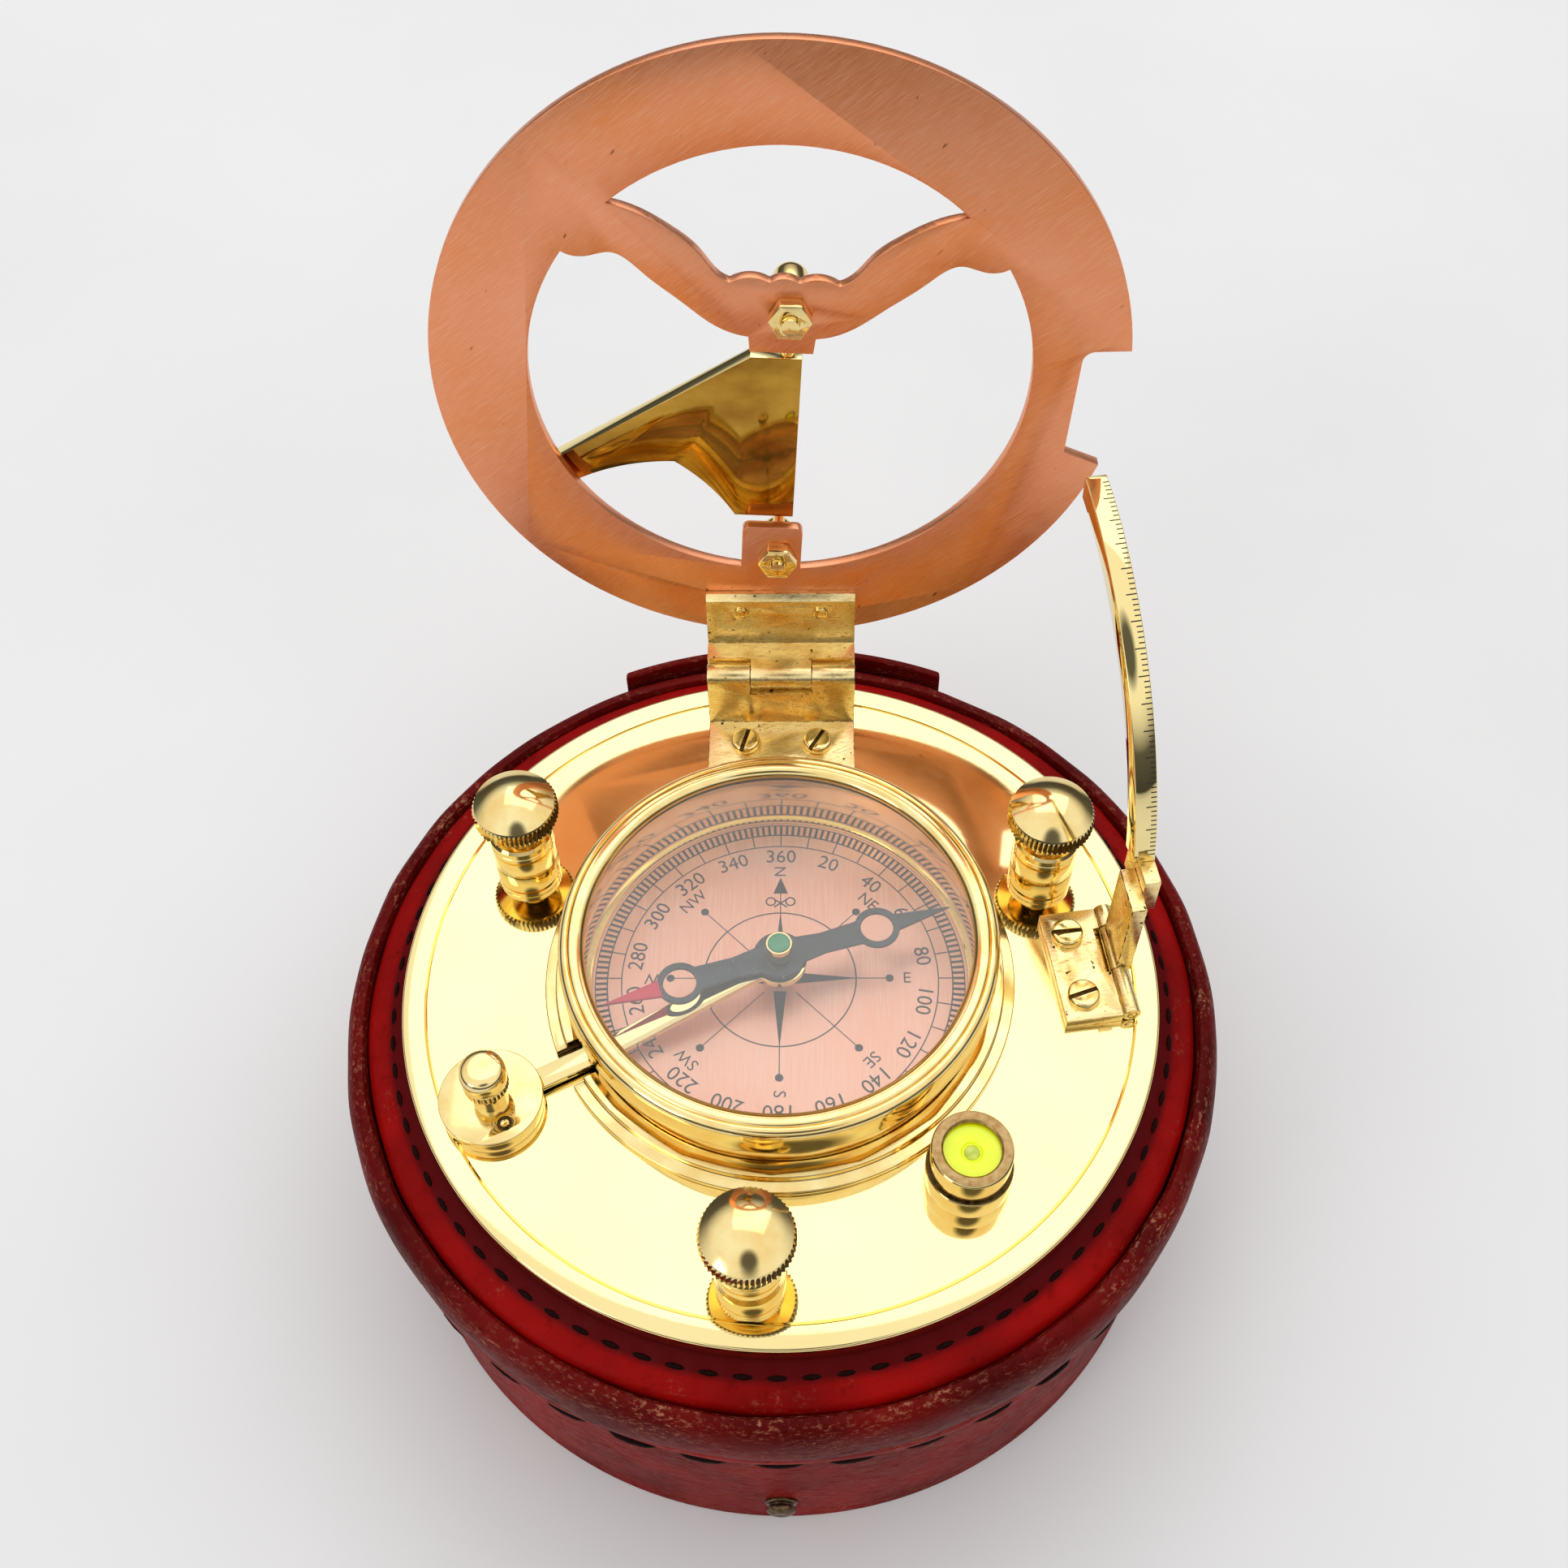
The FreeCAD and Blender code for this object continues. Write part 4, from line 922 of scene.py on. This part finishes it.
finished(seat, "lock_seat", LOCK_BRASS, "instrument")
eyelet = lathe([(0, 0), (0.55, 0), (0.62, 0.12), (0.80, 0.16), (0.98, 0.1), (1.0, -0.3), (0, -0.3)], 32, rounding=0)
bmesh.ops.translate(eyelet, vec=(MARK_X * MM, MARK_Y * MM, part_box("lock_cam")[1].z), verts=eyelet.verts)
# The mark's rim gets the dark painted-shade finish, which gives it its dark edge.
for face in eyelet.faces:
    reach = (face.calc_center_median().xy / MM - Vector((MARK_X, MARK_Y))).length
    face.material_index = 1 if reach > 0.56 else 0
finished(eyelet, "lock_mark", (COMPASS_BRASS, PAINTED_SHADE), "lock_knob", smooth=60)

# %% [markdown]
# The knob is spun with as many steps as it has columns of knurling, so that each step is half a tooth.

# %% Thumb knob
KNOB_STEPS = 64
KNOB_LOW, KNOB_TOP = heights("lock_knob")
knob = lathe([(0, KNOB_LOW), (2.25, KNOB_LOW), (2.25, KNOB_TOP - 4.9), (2.75, KNOB_TOP - 4.6), (2.85, KNOB_TOP - 4.4),
              (2.85, KNOB_TOP - 3.4), (2.75, KNOB_TOP - 3.2), (2.5, KNOB_TOP - 3.1), (2.5, KNOB_TOP - 2.9),
              (2.85, KNOB_TOP - 2.7), (2.9, KNOB_TOP - 1.3), (2.75, KNOB_TOP - 0.55), (2.35, KNOB_TOP - 0.15),
              (1.6, KNOB_TOP - 0.03), (0, KNOB_TOP)], KNOB_STEPS, rounding=0)
serrate(knob, KNOB_STEPS, 2.8, KNOB_TOP - 4.5, KNOB_TOP - 3.3, 0.22)
moved(knob, LOCK.x, LOCK.y)
finished(knob, "lock_thumb_knob", (LOCK_BRASS, PAINTED_SHADE), "lock_knob", ["lock_knob"], smooth=40)

# %% [markdown]
# ## Bull's-eye level
# A turned cup whose groove is painted dark as shade, a bronze ring screwed into it, and the liquid,
# whose top is hollowed in the middle. The bubble is a flattened sphere that sits in the hollow.

# %% Level
LEVEL = middle("level_housing")
LEVEL_TOP = heights("level_housing")[1]
LEVEL_R = (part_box("level_housing")[1].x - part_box("level_housing")[0].x) / (2 * MM)
LEVEL_BRASS = turned_brass("level", (LEVEL.x, LEVEL.y))
BORE = LEVEL_R - 1.45
UPPER_R = LEVEL_R - 0.38
cup = lathe([(0, PLATE_TOP), (LEVEL_R, PLATE_TOP), (LEVEL_R, PLATE_TOP + 3.5), (LEVEL_R - 0.15, PLATE_TOP + 3.65),
             (UPPER_R - 0.35, PLATE_TOP + 3.7), (UPPER_R - 0.35, PLATE_TOP + 4.0), (UPPER_R, PLATE_TOP + 4.1),
             (UPPER_R, LEVEL_TOP - 0.3), (UPPER_R - 0.2, LEVEL_TOP - 0.1), (BORE, LEVEL_TOP - 0.1),
             (BORE, PLATE_TOP + 1.5), (0, PLATE_TOP + 1.5)], 96, rounding=0.04, centre=(LEVEL.x, LEVEL.y))
# Faces in the groove get the dark finish: painted shade.
for face in cup.faces:
    spot = face.calc_center_median() / MM - Vector((LEVEL.x, LEVEL.y, PLATE_TOP))
    if 3.6 < spot.z < 4.12 and spot.xy.length > BORE + 0.2:
        face.material_index = 1
finished(cup, "level_cup", (LEVEL_BRASS, PAINTED_SHADE), "instrument", ["level_housing"])
collet = lathe([(3.5, LEVEL_TOP - 0.85), (BORE + 0.2, LEVEL_TOP - 0.4), (LEVEL_R - 0.62, LEVEL_TOP - 0.2),
                (LEVEL_R - 0.55, LEVEL_TOP + 0.01), (3.75, LEVEL_TOP + 0.03), (3.5, LEVEL_TOP - 0.2)],
               96, hollow=True, rounding=0.04, centre=(LEVEL.x, LEVEL.y))
finished(collet, "level_ring", BRONZE, "instrument", ["level_lid_ring"])
vial = lathe([(0, PLATE_TOP + 1.5), (BORE - 0.02, PLATE_TOP + 1.5), (BORE - 0.02, LEVEL_TOP - 0.95),
              (2.6, LEVEL_TOP - 1.0), (1.35, LEVEL_TOP - 1.15), (1.15, LEVEL_TOP - 1.35), (0, LEVEL_TOP - 1.4)], 64,
             rounding=0, centre=(LEVEL.x, LEVEL.y))
finished(vial, "level_liquid_body", LIQUID, "instrument", ["level_vial"])
bubble = bmesh.new()
bmesh.ops.create_uvsphere(bubble, u_segments=24, v_segments=12, radius=1.0 * MM)
bmesh.ops.scale(bubble, vec=(1, 1, 0.3), verts=bubble.verts)
bmesh.ops.translate(bubble, vec=(LEVEL.x * MM, LEVEL.y * MM, (LEVEL_TOP - 1.25) * MM), verts=bubble.verts)
finished(bubble, "level_bubble_cap", BUBBLE, "instrument", ["level_bubble"], smooth=180)

# %% [markdown]
# ## Levelling screws
# Three alike, each of a turned pillar, a threaded rod and a head. The thread is a zigzag outline spun
# many times round while it climbs, which is what a thread is. Its turns are joined by merging points,
# and its two ends are filled.

# %% Threaded rod
THREAD_PITCH = 0.7
THREAD_STEPS = 20


def threaded_rod(low, high, radius, centre):
    turns = int((high - low) / THREAD_PITCH) - 1
    bm = bmesh.new()
    root = radius - 0.28
    outline = [(root, 0), (radius, THREAD_PITCH * 0.42), (radius, THREAD_PITCH * 0.58), (root, THREAD_PITCH)]
    verts = [bm.verts.new((r * MM, 0, (low + z) * MM)) for r, z in outline]
    edges = [bm.edges.new(pair) for pair in zip(verts, verts[1:])]
    bmesh.ops.spin(bm, geom=verts + edges, cent=ORIGIN, axis=(0, 0, 1), dvec=(0, 0, THREAD_PITCH * MM / THREAD_STEPS),
                   angle=math.tau * turns, steps=THREAD_STEPS * turns, use_merge=False, use_normal_flip=False,
                   use_duplicate=False)
    bmesh.ops.remove_doubles(bm, verts=bm.verts, dist=5e-6)
    bmesh.ops.holes_fill(bm, edges=bm.edges, sides=0)
    bmesh.ops.recalc_face_normals(bm, faces=bm.faces)
    moved(bm, centre[0], centre[1])
    return bm


# %% [markdown]
# The pillar has one deep groove and one fine line. The head is a low dome over a knurled rim: the dome
# is a parabola in five rings, and the rim is pressed in by `serrate`, as the lock's knob is.

# %% Pillar and head
HEAD_TEETH = 54
DOME_STEP = 0.9


def screw_pillar(centre, radius, top):
    low = PLATE_TOP
    return lathe([(0, low), (radius - 0.1, low), (radius, low + 0.15), (radius, low + 3.35),
                  (radius - 0.4, low + 3.42), (radius - 0.4, low + 3.75), (radius, low + 3.82),
                  (radius, low + 4.6), (radius - 0.12, low + 4.7), (radius, low + 4.8), (radius, top - 0.45),
                  (radius - 0.35, top - 0.05), (radius - 1.4, top), (1.9, top), (1.6, top - 0.25),
                  (0, top - 0.25)], 96, rounding=0, centre=centre)


def screw_head(centre, radius, low, top):
    rim_low, rim_high = low + 1.4, low + 4.0
    edge, foot = radius - 0.35, rim_high + 0.3
    dome = [(edge - DOME_STEP * i, foot + (top - foot) * (1 - ((edge - DOME_STEP * i) / edge) ** 2)) for i in range(6)]
    bm = lathe([(0, low), (2.3, low), (2.4, low + 0.2), (2.4, rim_low - 0.25), (4.6, rim_low),
                (radius - 0.4, rim_low + 0.1), (radius, rim_low + 0.4), (radius, rim_high - 0.3),
                (radius - 0.3, rim_high), (radius - 0.45, rim_high + 0.2), *dome, (0, top)],
               2 * HEAD_TEETH, rounding=0)
    # `serrate` gives the gaps of the knurl the painted shade finish.
    serrate(bm, 2 * HEAD_TEETH, radius - 0.1, rim_low, rim_high, 0.36)
    moved(bm, centre[0], centre[1])
    return bm


# %% [markdown]
# The pillar stays on the plate, the rod climbs, and the head turns on the rod, so the three ride on
# three bodies. Each screw has its own turned finish, centred on its axis.

# %% Three levelling screws
ROD_R = 1.25
for side in ("left", "right", "front"):
    spot = middle("screw_pillar_" + side)
    centre = (spot.x, spot.y)
    brass = turned_brass("screw_" + side, centre)
    pillar_low, pillar_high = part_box("screw_pillar_" + side)
    pillar_radius = (pillar_high.x - pillar_low.x) / (2 * MM)
    pillar = screw_pillar(centre, pillar_radius, pillar_high.z / MM)
    finished(pillar, "pillar_" + side, brass, "instrument", ["screw_pillar_" + side])
    rod_low, rod_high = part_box("screw_rod_" + side)
    rod = threaded_rod(rod_low.z / MM, rod_high.z / MM, ROD_R, centre)
    finished(rod, "rod_" + side, brass, "screw_" + side, ["screw_rod_" + side], smooth=30)
    head_low, head_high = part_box("screw_head_" + side)
    head = screw_head(centre, (head_high.x - head_low.x) / (2 * MM), head_low.z / MM, head_high.z / MM)
    finished(head, "head_" + side, (brass, PAINTED_SHADE), "head_" + side, ["screw_head_" + side], smooth=32)

# %% [markdown]
# ## Hour ring, hinge, gnomon and latitude arc
# These are sheet and bar, and the frame already has their outlines. Each gets a copy with bevelled
# edges, which is what makes the ring's cut edges shine against its brushed face. The bevels of filed
# pieces get the grimy finish. The hidden face of the ring is left plain.

# %% Ring group
for node, name, finish, body, slot, rounding in (
        ("hour_ring", "ring_plate", COPPER, "hour_ring", "copper", 0.14),
        ("hinge_leaf", "leaf", FILED, "hour_ring", "filed_brass", 0.16),
        ("hinge_leaf_rivets", "leaf_rivets", COMPASS_BRASS, "hour_ring", "turned_brass", 0.12),
        ("gnomon_post_hub", "post_hub", COMPASS_BRASS, "hour_ring", "turned_brass", 0.08),
        ("gnomon_post_foot", "post_foot", COMPASS_BRASS, "hour_ring", "turned_brass", 0.08),
        ("gnomon_nuts", "post_nuts", COMPASS_BRASS, "hour_ring", "turned_brass", 0.14),
        ("gnomon_pins", "gnomon_pivot_pins", COMPASS_BRASS, "gnomon", "turned_brass", 0.08),
        ("hinge_foot", "foot", FILED, "instrument", "filed_brass", 0.16),
        ("hinge_pin", "pin", FILED, "instrument", "filed_brass", 0.1),
        ("arc_block", "block_leaf", FILED, "instrument", "filed_brass", 0.14),
        ("arc_pin", "block_pin", FILED, "instrument", "filed_brass", 0.08),
        ("arc_lug", "lug", FILED, "latitude_arc", "filed_brass", 0.14),
        ("arc_bracket", "bracket", FILED, "latitude_arc", "filed_brass", 0.14),
        ("latitude_arc", "arc_bar", MIRROR, "latitude_arc", "plate_brass", 0.12)):
    if finish is FILED:
        finished(cad_copy(node, rounding, edge_finish=1), name, (FILED, GRIMY), body, [node])
    else:
        finished(cad_copy(node, rounding), name, finish, body, [node])

# %% [markdown]
# Screw slots are cut last, and the floor of each slot is painted dark as shade.

# %% Mounting screws
for node, name in (("hinge_foot_screws", "foot_screws"), ("arc_block_screws", "block_screws")):
    screws = cad_copy(node, 0.07)
    top = max(vert.co.z for vert in screws.verts)
    for face in screws.faces:
        spot = face.calc_center_median()
        # slot floors: painted shade
        if face.normal.z > 0.9 and spot.z < top - 0.2 * MM:
            face.material_index = 1
    finished(screws, name, (COMPASS_BRASS, PAINTED_SHADE), "instrument", [node])

# %% [markdown]
# The gnomon's broad faces carry an old amber lacquer, which the filing of the edges has taken off. The
# copy's faces are sorted by how they face, and the narrow ones get the bright finish.

# %% Gnomon
blade = cad_copy("gnomon", 0.16)
widest = max(blade.faces, key=lambda face: face.calc_area()).normal.copy()
for face in blade.faces:
    face.material_index = 0 if abs(face.normal.dot(widest)) > 0.9 else 1
finished(blade, "gnomon_blade", (AMBER, MIRROR), "gnomon", ["gnomon"])

# %% [markdown]
# ## The scale of latitudes
# The latitude arc is divided in degrees along one edge of its outer face, with a longer line every
# fifth. The lines are thin bars laid on the metal, swung about the arc's own centre, and then leaned
# and turned as the arc is.

# %% Degree lines on the arc
BLOCK_TURN, ARC_LEAN = math.radians(8.0), math.radians(2.03)
BLOCK_PLACE = Vector((39.75 * MM, 0.6 * MM, PLATE_TOP * MM))
ARC_PIN = Vector((4.86 * MM, 0, 1.3 * MM))
ARC_CENTRE = Vector((0, 41.8 * MM, 10.0 * MM))
ARC_R, ARC_FACE = 38.4, 8.99
degrees_bm = bmesh.new()
for degree in range(14, 90):
    long_line = degree % 5 == 0
    made = bmesh.ops.create_cube(degrees_bm, size=1.0)["verts"]
    bmesh.ops.scale(degrees_bm, vec=((1.3 if long_line else 0.7) * MM, 0.16 * MM, 0.03 * MM), verts=made)
    bmesh.ops.translate(degrees_bm, vec=((ARC_FACE - (0.75 if long_line else 0.45)) * MM, 0, ARC_R * MM), verts=made)
    turned(degrees_bm, made, math.radians(90 - degree), "X")
bmesh.ops.translate(degrees_bm, vec=ARC_CENTRE, verts=degrees_bm.verts)
bmesh.ops.rotate(degrees_bm, cent=ARC_PIN, matrix=Matrix.Rotation(-ARC_LEAN, 3, "Y"), verts=degrees_bm.verts)
turned(degrees_bm, degrees_bm.verts, BLOCK_TURN)
bmesh.ops.translate(degrees_bm, vec=BLOCK_PLACE, verts=degrees_bm.verts)
finished(degrees_bm, "arc_degree_lines", INK, "latitude_arc", smooth=30)

# %% [markdown]
# ## Floor
# A wide pale floor of one flat grid. It isn't part of the object.

# %% Floor
floor_bm = bmesh.new()
bmesh.ops.create_grid(floor_bm, x_segments=1, y_segments=1, size=3.0)
floor_mesh = bpy.data.meshes.new("floor")
floor_bm.to_mesh(floor_mesh)
floor_bm.free()
floor = bpy.data.objects.new("floor", floor_mesh)
floor_mesh.materials.append(plain("pale_floor", (0.84, 0.84, 0.84), (0.88, 0.88, 0.88), 0.01, 0.8, 0.001))
bpy.context.scene.collection.objects.link(floor)

# %% [markdown]
# ## Lights
# A big soft light stands above and behind, and a smaller one at the front left. Wide lights make wide
# reflections and soft shadows, as a light tent does.

# %% Lights
def soft_light(name, place, target, size, power):
    light = bpy.data.lights.new(name, "AREA")
    light.shape = "RECTANGLE"
    light.size, light.size_y = size
    light.energy = power
    holder = bpy.data.objects.new(name, light)
    holder.location = place
    holder.rotation_euler = (Vector(target) - Vector(place)).to_track_quat("-Z", "Y").to_euler()
    bpy.context.scene.collection.objects.link(holder)
    print("light", name, "of", power, "W")


soft_light("top_light", (0.1, 0.75, 1.15), (0, 0.05, 0.05), (1.3, 1.1), 3.6)
soft_light("front_light", (-0.7, -0.6, 0.55), (0, 0, 0.05), (0.35, 0.5), 1.2)

# %% [markdown]
# ## World
# Polished brass shows only what is around it. The world is bright overhead and falls off towards the
# horizon, which gives the pillars and the drum their dark and bright bands. One soft dark patch, high
# in front, stands for the person who looks at the instrument, and shows in its domes.

# %% World
world = bpy.data.worlds.new("studio")
bpy.context.scene.world = world
world.use_nodes = True
sky_nodes, sky_links = world.node_tree.nodes, world.node_tree.links
direction = sky_nodes.new("ShaderNodeTexCoord").outputs["Generated"]
split = sky_nodes.new("ShaderNodeSeparateXYZ")
sky_links.new(direction, split.inputs[0])
fade = sky_nodes.new("ShaderNodeValToRGB")
fade.color_ramp.elements[0].position = 0.0
fade.color_ramp.elements[0].color = (0.5, 0.5, 0.5, 1)
fade.color_ramp.elements[1].position = 1.0
fade.color_ramp.elements[1].color = (1.0, 1.0, 1.0, 1)
for position, grey in ((0.02, 0.05), (0.30, 0.10), (0.48, 0.70), (0.60, 0.95)):
    stop = fade.color_ramp.elements.new(position)
    stop.color = (grey, grey, grey, 1)
sky_links.new(split.outputs["Z"], fade.inputs[0])
PERSON_TOWARDS = Vector((0.05, -0.52, 0.85))
PERSON_SHADE = (0.955, 0.985, 1.0, 0.12)
facing = sky_nodes.new("ShaderNodeVectorMath")
facing.operation = "DOT_PRODUCT"
facing.inputs[1].default_value = PERSON_TOWARDS.normalized()
sky_links.new(direction, facing.inputs[0])
person = sky_nodes.new("ShaderNodeMapRange")
person.clamp = True
for socket, number in zip(("From Min", "From Max", "To Min", "To Max"), PERSON_SHADE):
    person.inputs[socket].default_value = number
sky_links.new(facing.outputs["Value"], person.inputs["Value"])
shaded = sky_nodes.new("ShaderNodeVectorMath")
shaded.operation = "SCALE"
sky_links.new(fade.outputs[0], shaded.inputs[0])
sky_links.new(person.outputs[0], shaded.inputs["Scale"])
sky_links.new(shaded.outputs[0], sky_nodes["Background"].inputs["Color"])
sky_nodes["Background"].inputs["Strength"].default_value = 1.05
bpy.context.scene.view_settings.view_transform = "Standard"
print("world", world.name, "with", len(sky_nodes), "nodes")

# %% [markdown]
# ## Camera
# The camera looks down at the plate from in front, a little turned and a little rolled. Its axes are
# worked out from those three angles and set as a matrix, so that no order of turns has to be guessed.

# %% Camera
def look_frame(pitch, yaw, roll):
    """Right, up and forward of a camera that looks down by pitch, turned by yaw and rolled by roll."""
    forward = Vector((math.sin(yaw) * math.cos(pitch), math.cos(yaw) * math.cos(pitch), -math.sin(pitch)))
    right = forward.cross(Vector((0, 0, 1))).normalized()
    up = right.cross(forward)
    return (right * math.cos(roll) + up * math.sin(roll), up * math.cos(roll) - right * math.sin(roll), forward)


PITCH, YAW, ROLL = math.radians(54.13), math.radians(-1.29), math.radians(-1.18)
CAMERA_PLACE = (0.00364, -0.11403, 0.25091)
right, up, forward = look_frame(PITCH, YAW, ROLL)
camera_data = bpy.data.cameras.new("camera")
camera_data.lens = 39.7
camera_data.clip_start = 0.01
camera = bpy.data.objects.new("camera", camera_data)
turn = Matrix((right, up, -forward)).transposed()
camera.matrix_world = Matrix.Translation(CAMERA_PLACE) @ turn.to_4x4()
bpy.context.scene.collection.objects.link(camera)
bpy.context.scene.camera = camera
